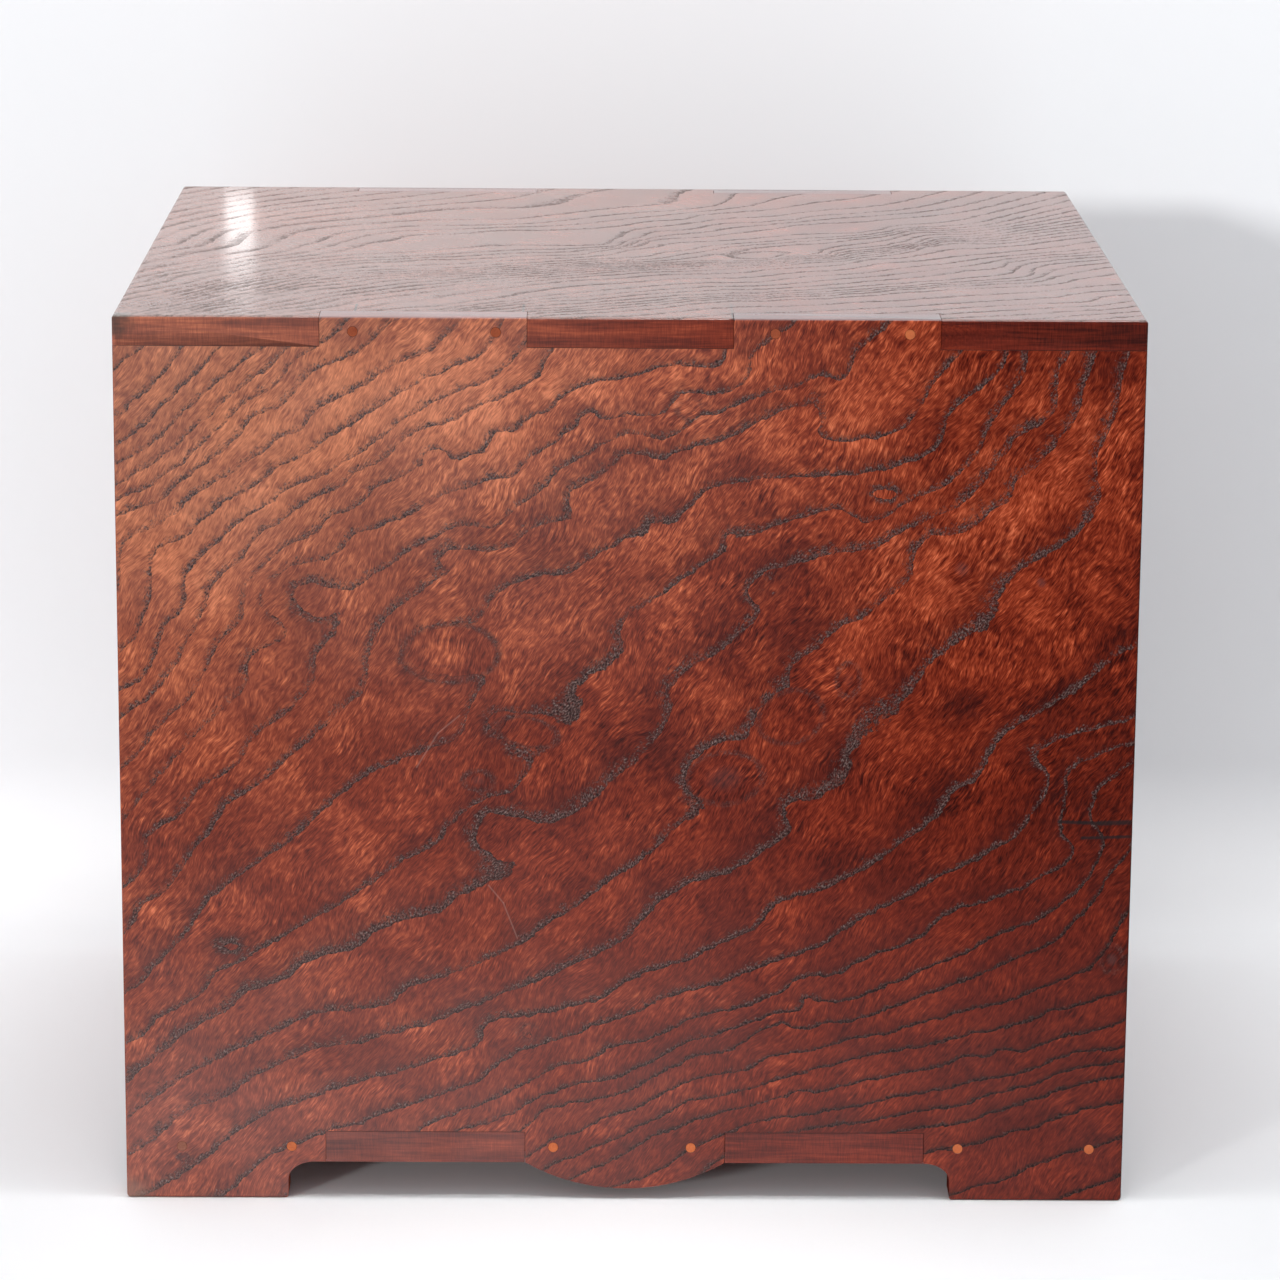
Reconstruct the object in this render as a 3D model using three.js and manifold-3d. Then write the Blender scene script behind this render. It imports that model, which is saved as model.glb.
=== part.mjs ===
// Small East Asian chest of drawers in zelkova, built the way a joiner builds it.
//
// Four boards make the case. The side boards and the top and bottom boards lock together with five
// wide fingers a corner, and wooden pegs driven through the side boards hold them. The side boards
// run down past the bottom board as feet, cut out between them round a hanging centre drop. Two
// shelves and an upright divide the front into two small drawers over two wide ones. The back board
// lies in a rebate. Each drawer is a box with finger joints at its rear corners, and swings a ring
// pull from an eye pin clenched behind its front.
//
// X is the width, Y the depth with the drawer fronts towards -Y, and Z is up. Lengths are millimetres.

import * as THREE from 'three';
import { RoundedBoxGeometry } from 'three/addons/geometries/RoundedBoxGeometry.js';
import { mergeVertices } from 'three/addons/utils/BufferGeometryUtils.js';
import Module from 'manifold-3d';

const wasm = await Module();
wasm.setup();

// Driving sizes of the case
const caseWidth = 261;
const caseDepth = 303;
const caseHeight = 272;
const sideThickness = 10;
const topThickness = 8.8;
const bottomThickness = 9.6;
const backThickness = 6;
const shelfThickness = 6.5;
const dividerThickness = 6.5;
const edgeRadius = 1.1;

// The feet and the cut-outs between them, on both side boards. Each foot ends in an upright edge that
// turns into the cut-out's top by a curve. Behind the front foot a short flat run follows that curve. A
// round drop hangs from the middle finger.
const footHeight = 11.8;
const footSweep = 8;
const footSweepRise = 5.7;
const frontFootRun = 3.4;
const footToeRadius = 1.4;
const dropDepth = 8.3;

// Joints of the case. The back board's rebates take a share of each board's thickness.
const fingerCount = 5;
const jointGap = 0.15;
const housingDepth = 3;
const rebateShare = 0.5;

// Pegs through the side boards. Each finger has two, set by eye, here as shares of its length.
const pegRadius = 1.5;
const pegLength = 24;
const pegGap = 0.1;
const topPegShares = [[0.16, 0.85], [0.2, 0.85]];
const bottomPegShares = [[0.28, 0.83], [0.14, 0.83], [0.17, 0.83]];

// Rows of drawers. The bottom row takes the height that is left.
const smallRowHeight = 58;
const middleRowHeight = 75;

// Drawers
const shelfSetback = 0.6;
const drawerSetback = 1.6;
const drawerSideGap = 0.5;
const drawerTopGap = 0.7;
const drawerBottomGap = 0.3;
const drawerBackGap = 0.6;
const drawerFrontThickness = 11;
const drawerLip = 4.5;
const drawerSideThickness = 6.5;
const drawerBackThickness = 6.5;
const drawerBottomThickness = 4.5;
const smallDrawerFingerCount = 3;
const wideDrawerFingerCount = 5;

// Pulls: a round plate, an eye pin through it, and a ring that swings in the eye
const smallRingRadius = 9;
const wideRingRadius = 12;
const ringWireRadius = 1.1;
const smallPlateRadius = 8.5;
const widePlateRadius = 10.5;
const plateThickness = 1.2;
const plateRimThickness = 0.7;
const plateBossRadius = 4.2;
const plateGap = 0.1;
const eyeWireRadius = 0.75;
const ringPlay = 0.5;
const shankWidth = 1.5;
const shankHeight = 2.6;
const shankGap = 0.15;
const clenchLength = 8;
const clenchThickness = 1;

// Facets, and how far a cutter runs past what it cuts
const overrun = 5;
const arcSegments = 12;
const edgeSegments = 3;
const pegSegments = 12;
const plateSegments = 32;
const wireSegments = 8;
const ringSegments = 32;
const eyeSegments = 16;
const mergeTolerance = 1e-4;

// Places worked out from the driving sizes
const halfWidth = caseWidth / 2;
const halfDepth = caseDepth / 2;
const innerHalfWidth = halfWidth - sideThickness;
const topUnderside = caseHeight - topThickness;
const bottomTopside = footHeight + bottomThickness;
const upperShelfBottom = topUnderside - smallRowHeight - shelfThickness;
const lowerShelfBottom = upperShelfBottom - middleRowHeight - shelfThickness;
const backFront = halfDepth - backThickness;
const caseFront = -halfDepth;
const drawerFrontFace = caseFront + drawerSetback;
const eyeRadius = ringWireRadius + ringPlay + eyeWireRadius;
const eyeStandoff = plateGap + plateThickness + plateGap + eyeWireRadius + eyeRadius;
const pullReach = eyeStandoff + eyeRadius + eyeWireRadius - drawerSetback;

// Materials
const zelkova = new THREE.MeshStandardMaterial({ color: 0x8a3418, roughness: 0.28, metalness: 0 });
const zelkovaTop = new THREE.MeshStandardMaterial({ color: 0x7d3a22, roughness: 0.24, metalness: 0 });
const zelkovaFront = new THREE.MeshStandardMaterial({ color: 0x93401c, roughness: 0.3, metalness: 0 });
const carcassWood = new THREE.MeshStandardMaterial({ color: 0x6f3a22, roughness: 0.55, metalness: 0 });
const drawerWood = new THREE.MeshStandardMaterial({ color: 0xb08a5c, roughness: 0.7, metalness: 0 });
const pegWood = new THREE.MeshStandardMaterial({ color: 0xb5622f, roughness: 0.4, metalness: 0 });
const agedBrass = new THREE.MeshStandardMaterial({ color: 0x6b5330, roughness: 0.42, metalness: 0.9 });

// Solids

/** A closed three.js geometry, as a solid that can be cut and joined. */
function solidOf(geometry) {
  const plain = geometry.clone();
  plain.deleteAttribute('normal');
  plain.deleteAttribute('uv');
  const merged = mergeVertices(plain, mergeTolerance);
  const mesh = new wasm.Mesh({
    numProp: 3,
    vertProperties: new Float32Array(merged.attributes.position.array),
    triVerts: new Uint32Array(merged.index.array),
  });
  return new wasm.Manifold(mesh);
}

/** A box between two corners. */
function block([x0, y0, z0], [x1, y1, z1]) {
  const geometry = new THREE.BoxGeometry(x1 - x0, y1 - y0, z1 - z0);
  geometry.translate((x0 + x1) / 2, (y0 + y1) / 2, (z0 + z1) / 2);
  return solidOf(geometry);
}

/** A round rod along X from x0 to x1. */
function rodAlongX(radius, x0, x1, y, z) {
  const geometry = new THREE.CylinderGeometry(radius, radius, Math.abs(x1 - x0), pegSegments);
  geometry.rotateZ(Math.PI / 2);
  geometry.translate((x0 + x1) / 2, y, z);
  return solidOf(geometry);
}

/** Everything in the list, cut from the blank. */
function cutAll(blank, cutters) {
  return cutters.reduce((solid, cutter) => solid.subtract(cutter), blank);
}

/** Everything in the list, joined. */
function joinAll([first, ...others]) {
  return others.reduce((solid, other) => solid.add(other), first);
}

/** A named mesh of the solid, centred on its own box, set down where the solid lies. */
function piece(name, solid, material) {
  const { vertProperties, numProp, triVerts } = solid.getMesh();
  const positions = new Float32Array((vertProperties.length / numProp) * 3);
  for (let i = 0; i < positions.length / 3; i += 1) {
    positions.set(vertProperties.subarray(i * numProp, i * numProp + 3), i * 3);
  }
  const indexed = new THREE.BufferGeometry();
  indexed.setAttribute('position', new THREE.BufferAttribute(positions, 3));
  indexed.setIndex(new THREE.BufferAttribute(new Uint32Array(triVerts), 1));
  const geometry = indexed.toNonIndexed();
  geometry.computeBoundingBox();
  const centre = geometry.boundingBox.getCenter(new THREE.Vector3());
  geometry.translate(-centre.x, -centre.y, -centre.z);
  geometry.computeVertexNormals();
  const mesh = new THREE.Mesh(geometry, material);
  mesh.name = name;
  mesh.position.copy(centre);
  return mesh;
}

// The case

/** Where finger i starts, counted from the front of the case. */
function fingerEdge(i) {
  return caseFront + (caseDepth * i) / fingerCount;
}

/** The block that the finished case was sanded to: all its outer edges are rounded over. */
function caseEnvelope() {
  const geometry = new RoundedBoxGeometry(caseWidth, caseDepth, caseHeight, edgeSegments, edgeRadius);
  geometry.translate(0, 0, caseHeight / 2);
  return solidOf(geometry);
}

/** The side board's outline, drawn with x as the depth and y as the height. */
function sideOutline() {
  const firstEdge = fingerEdge(1);
  const lastEdge = fingerEdge(fingerCount - 1);
  const sweepStart = footHeight - footSweepRise;
  const frontSweepEnd = firstEdge - frontFootRun;
  const frontFootEnd = frontSweepEnd - footSweep;
  const backFootStart = lastEdge + footSweep;
  const seat = topUnderside - jointGap;
  const notchTop = bottomTopside + jointGap;
  const outline = new THREE.Shape();
  outline.moveTo(caseFront, 0);
  // Front foot: a small round toe, an upright edge, the sweep up and a flat run to the bottom board
  outline.lineTo(frontFootEnd - footToeRadius, 0);
  outline.absarc(frontFootEnd - footToeRadius, footToeRadius, footToeRadius, -Math.PI / 2, 0);
  outline.lineTo(frontFootEnd, sweepStart);
  outline.absellipse(frontSweepEnd, sweepStart, footSweep, footSweepRise, Math.PI, Math.PI / 2, true);
  outline.lineTo(firstEdge, footHeight);
  // A notch for each of the bottom board's fingers, with a drop between two notches
  for (let i = 1; i < fingerCount; i += 2) {
    outline.lineTo(fingerEdge(i), notchTop);
    outline.lineTo(fingerEdge(i + 1), notchTop);
    outline.lineTo(fingerEdge(i + 1), footHeight);
    if (i + 2 < fingerCount) {
      hangDrop(outline, fingerEdge(i + 1), fingerEdge(i + 2));
    }
  }
  // Back foot
  outline.absellipse(lastEdge, sweepStart, footSweep, footSweepRise, Math.PI / 2, 0, true);
  outline.lineTo(backFootStart, footToeRadius);
  outline.absarc(backFootStart + footToeRadius, footToeRadius, footToeRadius, Math.PI, Math.PI * 1.5);
  outline.lineTo(halfDepth, 0);
  // Along the top, a seat for each of the top board's fingers
  outline.lineTo(halfDepth, seat);
  for (let i = fingerCount - 1; i > 0; i -= 2) {
    outline.lineTo(fingerEdge(i), seat);
    outline.lineTo(fingerEdge(i), caseHeight);
    outline.lineTo(fingerEdge(i - 1), caseHeight);
    outline.lineTo(fingerEdge(i - 1), seat);
  }
  outline.lineTo(caseFront, seat);
  return outline;
}

/** The round drop that hangs between two cut-outs, from y0 to y1 along the depth. */
function hangDrop(outline, y0, y1) {
  const halfChord = (y1 - y0) / 2;
  const radius = (halfChord * halfChord + dropDepth * dropDepth) / (2 * dropDepth);
  const spread = Math.asin(halfChord / radius);
  const centreHeight = footHeight - dropDepth + radius;
  outline.absarc((y0 + y1) / 2, centreHeight, radius, -Math.PI / 2 - spread, -Math.PI / 2 + spread);
}

/** The housing of a shelf in a side board. */
function shelfHousing(sign, shelfBottom) {
  const mouth = sign * (innerHalfWidth - overrun);
  const floor = sign * (innerHalfWidth + housingDepth);
  return block(
    [Math.min(mouth, floor), caseFront - overrun, shelfBottom - jointGap],
    [Math.max(mouth, floor), backFront, shelfBottom + shelfThickness + jointGap],
  );
}

/** The back board's place in the rebates round the rear of the case, as two corners. */
function backPlace(gap) {
  const x = innerHalfWidth + sideThickness * rebateShare - gap;
  const low = bottomTopside - bottomThickness * rebateShare + gap;
  const high = topUnderside + topThickness * rebateShare - gap;
  return [[-x, backFront + gap, low], [x, halfDepth, high]];
}

/** The cutter that makes the back board's rebates. */
function backPocket() {
  const [low, high] = backPlace(0);
  return block(low, [high[0], halfDepth + overrun, high[2]]);
}

/** The pegs' places along the depth, in every other finger from the first one given. */
function pegPlaces(firstFinger, pegShares) {
  const places = [];
  for (let i = firstFinger; i < fingerCount; i += 2) {
    const length = fingerEdge(i + 1) - fingerEdge(i);
    const shares = pegShares[(i >> 1) % pegShares.length];
    places.push(...shares.map((share) => fingerEdge(i) + length * share));
  }
  return places;
}

/** Every peg of the case: its name, the side it is driven from, and its place. */
function pegList() {
  const topPlaces = pegPlaces(1, topPegShares);
  const bottomPlaces = pegPlaces(0, bottomPegShares);
  const list = [];
  for (const [side, sign] of [['right', 1], ['left', -1]]) {
    topPlaces.forEach((y, i) => {
      list.push({ name: `${side}_top_peg_${i + 1}`, sign, y, z: topUnderside + topThickness / 2 });
    });
    bottomPlaces.forEach((y, i) => {
      list.push({ name: `${side}_bottom_peg_${i + 1}`, sign, y, z: footHeight + bottomThickness / 2 });
    });
  }
  return list;
}

/** The holes for the pegs driven from one side or, with no side given, from both. */
function pegHoles(side) {
  return pegList()
    .filter((peg) => side === undefined || peg.sign === side)
    .map(({ sign, y, z }) => {
      const mouth = sign * (halfWidth + overrun);
      const floor = sign * (halfWidth - pegLength - pegGap);
      return rodAlongX(pegRadius + pegGap, mouth, floor, y, z);
    });
}

/** A side board. The sign is 1 on the right, at +X, and -1 on the left. */
function sideBoard(name, sign, envelope) {
  const geometry = new THREE.ExtrudeGeometry(sideOutline(), {
    depth: sideThickness,
    bevelEnabled: false,
    curveSegments: arcSegments,
  });
  // Turns the outline's x to the depth, its y to the height, and its thickness to the width
  geometry.applyMatrix4(new THREE.Matrix4().makeBasis(
    new THREE.Vector3(0, 1, 0),
    new THREE.Vector3(0, 0, 1),
    new THREE.Vector3(1, 0, 0),
  ));
  geometry.translate(sign > 0 ? innerHalfWidth : -halfWidth, 0, 0);
  const solid = cutAll(solidOf(geometry), [
    shelfHousing(sign, upperShelfBottom),
    shelfHousing(sign, lowerShelfBottom),
    backPocket(),
    ...pegHoles(sign),
  ]);
  return piece(name, solid.intersect(envelope), zelkova);
}

/** A board between the side boards, with fingers through them at every other place. */
function fingeredBoard(low, high, firstFinger) {
  const parts = [block(
    [-innerHalfWidth + jointGap, caseFront, low],
    [innerHalfWidth - jointGap, halfDepth, high],
  )];
  for (let i = firstFinger; i < fingerCount; i += 2) {
    const start = i === 0 ? fingerEdge(0) : fingerEdge(i) + jointGap;
    const end = i === fingerCount - 1 ? fingerEdge(fingerCount) : fingerEdge(i + 1) - jointGap;
    parts.push(block([-halfWidth, start, low], [halfWidth, end, high]));
  }
  return joinAll(parts);
}

/** The top board, with the upright's housing underneath. */
function topBoard(envelope) {
  const housing = block(
    [-dividerThickness / 2 - jointGap, caseFront - overrun, topUnderside - overrun],
    [dividerThickness / 2 + jointGap, backFront, topUnderside + housingDepth],
  );
  const blank = fingeredBoard(topUnderside, caseHeight, 0);
  const solid = cutAll(blank, [housing, backPocket(), ...pegHoles()]);
  return piece('top_board', solid.intersect(envelope), zelkovaTop);
}

/** The bottom board. */
function bottomBoard(envelope) {
  const blank = fingeredBoard(footHeight, bottomTopside, 1);
  const solid = cutAll(blank, [backPocket(), ...pegHoles()]);
  return piece('bottom_board', solid.intersect(envelope), carcassWood);
}

/** A shelf, housed in both side boards. The upper one carries the upright as well. */
function shelf(name, bottom, carriesDivider) {
  const reach = innerHalfWidth + housingDepth - jointGap;
  const blank = block(
    [-reach, caseFront + shelfSetback, bottom],
    [reach, backFront - jointGap, bottom + shelfThickness],
  );
  const housing = block(
    [-dividerThickness / 2 - jointGap, caseFront - overrun, bottom + shelfThickness - housingDepth],
    [dividerThickness / 2 + jointGap, halfDepth, bottom + shelfThickness + overrun],
  );
  return piece(name, carriesDivider ? blank.subtract(housing) : blank, carcassWood);
}

/** The upright between the two small drawers. */
function drawerDivider() {
  const foot = upperShelfBottom + shelfThickness - housingDepth + jointGap;
  const solid = block(
    [-dividerThickness / 2, caseFront + shelfSetback, foot],
    [dividerThickness / 2, backFront - jointGap, topUnderside + housingDepth - jointGap],
  );
  return piece('drawer_divider', solid, carcassWood);
}

/** One peg, flush with the outside of its side board. */
function casePeg({ name, sign, y, z }) {
  const solid = rodAlongX(pegRadius, sign * halfWidth, sign * (halfWidth - pegLength), y, z);
  return piece(name, solid, pegWood);
}

/** The case: boards, shelves, upright, back and pegs. */
function chestCase() {
  const envelope = caseEnvelope();
  const group = new THREE.Group();
  group.add(
    topBoard(envelope),
    bottomBoard(envelope),
    sideBoard('right_side_board', 1, envelope),
    sideBoard('left_side_board', -1, envelope),
    piece('back_board', block(...backPlace(jointGap)), carcassWood),
    shelf('upper_shelf', upperShelfBottom, true),
    shelf('lower_shelf', lowerShelfBottom, false),
    drawerDivider(),
    ...pegList().map(casePeg),
  );
  return group;
}

// The drawers, each drawn with its origin at the bottom centre of its front face

/** The heights at which a drawer's rear fingers start and end. */
function rearFingers(low, high, count) {
  const edges = [];
  for (let i = 0; i <= count; i += 1) {
    edges.push(low + ((high - low) * i) / count);
  }
  return edges;
}

/** The front, rebated behind for the two sides and the bottom. */
function drawerFront(width, height) {
  const blank = block([-width / 2, 0, 0], [width / 2, drawerFrontThickness, height]);
  const sideSeat = width / 2 - drawerSideThickness - jointGap;
  const outside = width / 2 + overrun;
  const behind = drawerFrontThickness + overrun;
  const holeX = shankWidth / 2 + shankGap;
  const holeZ = shankHeight / 2 + shankGap;
  return cutAll(blank, [
    block([sideSeat, drawerLip, -overrun], [outside, behind, height + overrun]),
    block([-outside, drawerLip, -overrun], [-sideSeat, behind, height + overrun]),
    block([-outside, drawerLip, -overrun], [outside, behind, drawerBottomThickness + jointGap]),
    block([-holeX, -overrun, height / 2 - holeZ], [holeX, behind, height / 2 + holeZ]),
  ]);
}

/** A drawer side, with fingers at the rear that leave room for the back's. */
function drawerSide(sign, width, height, length, fingers) {
  const outer = (sign * width) / 2;
  const inner = sign * (width / 2 - drawerSideThickness);
  const edges = rearFingers(drawerBottomThickness + jointGap, height, fingers);
  const blank = block(
    [Math.min(outer, inner), drawerLip + jointGap, edges[0]],
    [Math.max(outer, inner), length, height],
  );
  const notches = [];
  for (let i = 1; i < fingers; i += 2) {
    notches.push(block(
      [-width / 2 - overrun, length - drawerBackThickness - jointGap, edges[i]],
      [width / 2 + overrun, length + overrun, edges[i + 1]],
    ));
  }
  return cutAll(blank, notches);
}

/** A drawer back between the sides, with fingers through them. */
function drawerBack(width, height, length, fingers) {
  const edges = rearFingers(drawerBottomThickness + jointGap, height, fingers);
  const reach = width / 2 - drawerSideThickness - jointGap;
  const parts = [block([-reach, length - drawerBackThickness, edges[0]], [reach, length, height])];
  for (let i = 1; i < fingers; i += 2) {
    parts.push(block(
      [-width / 2, length - drawerBackThickness, edges[i] + jointGap],
      [width / 2, length, edges[i + 1] - jointGap],
    ));
  }
  return joinAll(parts);
}

/** A drawer bottom, under the sides and the back. */
function drawerBottom(width, length) {
  return block([-width / 2, drawerLip + jointGap, 0], [width / 2, length, drawerBottomThickness]);
}

/** The plate of a pull, turned to face the front, its back at y 0. */
function pullPlate(radius) {
  const hole = Math.hypot(shankWidth, shankHeight) / 2 + shankGap;
  const profile = [
    new THREE.Vector2(hole, 0),
    new THREE.Vector2(radius, 0),
    new THREE.Vector2(radius, plateRimThickness),
    new THREE.Vector2(radius - plateRimThickness, plateThickness),
    new THREE.Vector2(radius - plateRimThickness * 2, plateRimThickness),
    new THREE.Vector2(plateBossRadius, plateRimThickness),
    new THREE.Vector2(plateBossRadius - plateRimThickness, plateThickness),
    new THREE.Vector2(hole, plateThickness),
    new THREE.Vector2(hole, 0),
  ];
  const geometry = new THREE.LatheGeometry(profile, plateSegments);
  geometry.rotateX(Math.PI);
  return solidOf(geometry);
}

/** The eye pin: its eye stands out at the front, and its two legs are clenched behind. */
function eyePin() {
  const loop = new THREE.TorusGeometry(eyeRadius, eyeWireRadius, wireSegments, eyeSegments);
  loop.rotateY(Math.PI / 2);
  const clenchFace = eyeStandoff + drawerFrontThickness + plateGap;
  const clenchBack = clenchFace + clenchThickness;
  const shank = block(
    [-shankWidth / 2, eyeRadius, -shankHeight / 2],
    [shankWidth / 2, clenchBack, shankHeight / 2],
  );
  const clench = block(
    [-shankWidth / 2, clenchFace, -clenchLength],
    [shankWidth / 2, clenchBack, clenchLength],
  );
  return joinAll([solidOf(loop), shank, clench]);
}

/** The ring, hanging from the origin. */
function pullRing(radius) {
  const geometry = new THREE.TorusGeometry(radius, ringWireRadius, wireSegments, ringSegments);
  geometry.rotateX(Math.PI / 2);
  geometry.translate(0, 0, -radius);
  return solidOf(geometry);
}

/** A pull, with its origin on the drawer front's face. */
function pull(name, ringRadius, plateRadius) {
  const group = new THREE.Group();
  const plate = new THREE.Group();
  plate.position.y = -plateGap;
  plate.add(piece(`${name}_pull_plate`, pullPlate(plateRadius), agedBrass));
  const eye = new THREE.Group();
  eye.position.y = -eyeStandoff;
  eye.add(
    piece(`${name}_eye_pin`, eyePin(), agedBrass),
    piece(`${name}_pull_ring`, pullRing(ringRadius), agedBrass),
  );
  group.add(plate, eye);
  return group;
}

/** A whole drawer for a bay, which is given by its sides, floor and ceiling. */
function drawer(name, bay, fingers, ringRadius, plateRadius) {
  const width = bay.right - bay.left - drawerSideGap * 2;
  const height = bay.ceiling - bay.floor - drawerTopGap - drawerBottomGap;
  const length = backFront - drawerBackGap - drawerFrontFace;
  const group = new THREE.Group();
  group.position.set((bay.left + bay.right) / 2, drawerFrontFace, bay.floor + drawerBottomGap);
  const handle = pull(name, ringRadius, plateRadius);
  handle.position.z = height / 2;
  group.add(
    piece(`${name}_front`, drawerFront(width, height), zelkovaFront),
    piece(`${name}_right_side`, drawerSide(1, width, height, length, fingers), drawerWood),
    piece(`${name}_left_side`, drawerSide(-1, width, height, length, fingers), drawerWood),
    piece(`${name}_back`, drawerBack(width, height, length, fingers), drawerWood),
    piece(`${name}_bottom`, drawerBottom(width, length), drawerWood),
    handle,
  );
  return group;
}

/** The four drawers, in their bays. */
function drawers() {
  const smallBay = { floor: upperShelfBottom + shelfThickness, ceiling: topUnderside };
  const wideBay = { left: -innerHalfWidth, right: innerHalfWidth };
  const middleBay = { ...wideBay, floor: lowerShelfBottom + shelfThickness, ceiling: upperShelfBottom };
  const lowerBay = { ...wideBay, floor: bottomTopside, ceiling: lowerShelfBottom };
  const leftBay = { ...smallBay, left: -innerHalfWidth, right: -dividerThickness / 2 };
  const rightBay = { ...smallBay, left: dividerThickness / 2, right: innerHalfWidth };
  return [
    drawer('left_drawer', leftBay, smallDrawerFingerCount, smallRingRadius, smallPlateRadius),
    drawer('right_drawer', rightBay, smallDrawerFingerCount, smallRingRadius, smallPlateRadius),
    drawer('middle_drawer', middleBay, wideDrawerFingerCount, wideRingRadius, widePlateRadius),
    drawer('lower_drawer', lowerBay, wideDrawerFingerCount, wideRingRadius, widePlateRadius),
  ];
}

// The chest's origin is under the middle of everything, pulls and all.
const chest = new THREE.Group();
const body = new THREE.Group();
body.position.y = pullReach / 2;
body.add(chestCase(), ...drawers());
chest.add(body);

export default chest;
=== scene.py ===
"""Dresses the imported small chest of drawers: figured boards, lacquer, pegs and aged pulls."""

import logging
import math
from dataclasses import dataclass, field, replace
from enum import Enum
from typing import Union

import bmesh
import bpy
import numpy as np
from mathutils import Matrix, Vector


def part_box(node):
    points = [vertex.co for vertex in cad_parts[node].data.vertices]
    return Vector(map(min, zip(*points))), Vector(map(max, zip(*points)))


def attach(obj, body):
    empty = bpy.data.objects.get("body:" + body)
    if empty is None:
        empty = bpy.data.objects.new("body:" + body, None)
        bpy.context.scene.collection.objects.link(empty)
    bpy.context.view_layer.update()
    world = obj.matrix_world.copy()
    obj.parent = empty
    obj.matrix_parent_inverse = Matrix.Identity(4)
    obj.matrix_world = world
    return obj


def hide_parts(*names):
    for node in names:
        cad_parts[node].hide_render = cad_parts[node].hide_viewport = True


MM = 0.001
LOG = logging.getLogger("chest")

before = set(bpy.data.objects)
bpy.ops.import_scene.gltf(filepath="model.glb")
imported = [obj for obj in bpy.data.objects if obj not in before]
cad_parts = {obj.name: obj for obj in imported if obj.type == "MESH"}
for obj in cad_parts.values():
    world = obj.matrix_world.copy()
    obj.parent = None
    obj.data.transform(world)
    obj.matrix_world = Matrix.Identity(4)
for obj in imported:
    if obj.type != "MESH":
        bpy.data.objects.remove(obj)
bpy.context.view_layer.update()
SIDE_LOW, SIDE_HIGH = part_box("right_side_board")
FRONT_EDGE = round(SIDE_LOW[1] / MM, 3)
CASE_DEPTH = round((SIDE_HIGH[1] - SIDE_LOW[1]) / MM, 3)
CASE_HEIGHT = round(SIDE_HIGH[2] / MM, 3)
HALF_WIDTH = round(SIDE_HIGH[0] / MM, 3)
MERGE_REACH = 1e-6

Triple = tuple[float, float, float]
Colour = Triple
Operand = Union["Signal", float, Triple]


class Body(Enum):
    """The bodies that the figured boards ride on."""

    CASE = "case"
    LEFT_DRAWER = "left_drawer"
    RIGHT_DRAWER = "right_drawer"
    MIDDLE_DRAWER = "middle_drawer"
    LOWER_DRAWER = "lower_drawer"


class Slot(Enum):
    """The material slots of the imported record."""

    CASE_WOOD = "case_wood"
    INNER_WOOD = "inner_wood"
    DRAWER_WOOD = "drawer_wood"
    PEG_WOOD = "peg_wood"
    PULL_METAL = "pull_metal"


# Shader nodes


@dataclass(frozen=True)
class Signal:
    """One output socket of a material, which can be used in arithmetic."""

    net: "Net"
    socket: bpy.types.NodeSocket

    @property
    def many(self) -> bool:
        """Whether the socket carries a vector or colour."""
        return self.socket.type in {"VECTOR", "RGBA"}

    def __add__(self, other: Operand) -> "Signal":
        """Self plus other."""
        return self.net.math("ADD", self, other)

    __radd__ = __add__

    def __sub__(self, other: Operand) -> "Signal":
        """Self minus other."""
        return self.net.math("SUBTRACT", self, other)

    def __rsub__(self, other: Operand) -> "Signal":
        """Other minus self."""
        return self.net.math("SUBTRACT", other, self)

    def __mul__(self, other: Operand) -> "Signal":
        """Self times other."""
        return self.net.math("MULTIPLY", self, other)

    __rmul__ = __mul__

    def __truediv__(self, other: Operand) -> "Signal":
        """Self over other."""
        return self.net.math("DIVIDE", self, other)

    def __abs__(self) -> "Signal":
        """Self without its sign."""
        return self.net.math("ABSOLUTE", self)

    def fraction(self) -> "Signal":
        """The part of self after the point."""
        return self.net.math("FRACT", self)

    def clamp(self) -> "Signal":
        """Self held between 0 and 1."""
        return self.minimum(1.0).maximum(0.0)

    def minimum(self, other: Operand) -> "Signal":
        """The smaller of self and other."""
        return self.net.math("MINIMUM", self, other)

    def maximum(self, other: Operand) -> "Signal":
        """The larger of self and other."""
        return self.net.math("MAXIMUM", self, other)

    def rise(self, low: Operand, high: Operand) -> "Signal":
        """A smooth step.

        Args:
            low: Value at which the step starts.
            high: Value at which the step is over.

        Returns:
            0 below low, 1 above high, smooth between.
        """
        return self.net.node(
            "ShaderNodeMapRange",
            {"interpolation_type": "SMOOTHSTEP"},
            {"Value": self, "From Min": low, "From Max": high},
        )

    def fall(self, low: Operand, high: Operand) -> "Signal":
        """1 below low, 0 above high, smooth between."""
        return 1.0 - self.rise(low, high)

    def exponent(self) -> "Signal":
        """e to the power of self."""
        return self.net.math("EXPONENT", self)

    def part(self, axis: int) -> "Signal":
        """One of the three numbers of a vector."""
        return self.net.node("ShaderNodeSeparateXYZ", {}, {"Vector": self}, axis)

    def dot(self, other: Operand) -> "Signal":
        """The dot product of two vectors."""
        return self.net.node(
            "ShaderNodeVectorMath", {"operation": "DOT_PRODUCT"}, {0: self, 1: other}, "Value"
        )

    def length(self) -> "Signal":
        """The length of a vector."""
        return self.net.node("ShaderNodeVectorMath", {"operation": "LENGTH"}, {0: self}, "Value")


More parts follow.
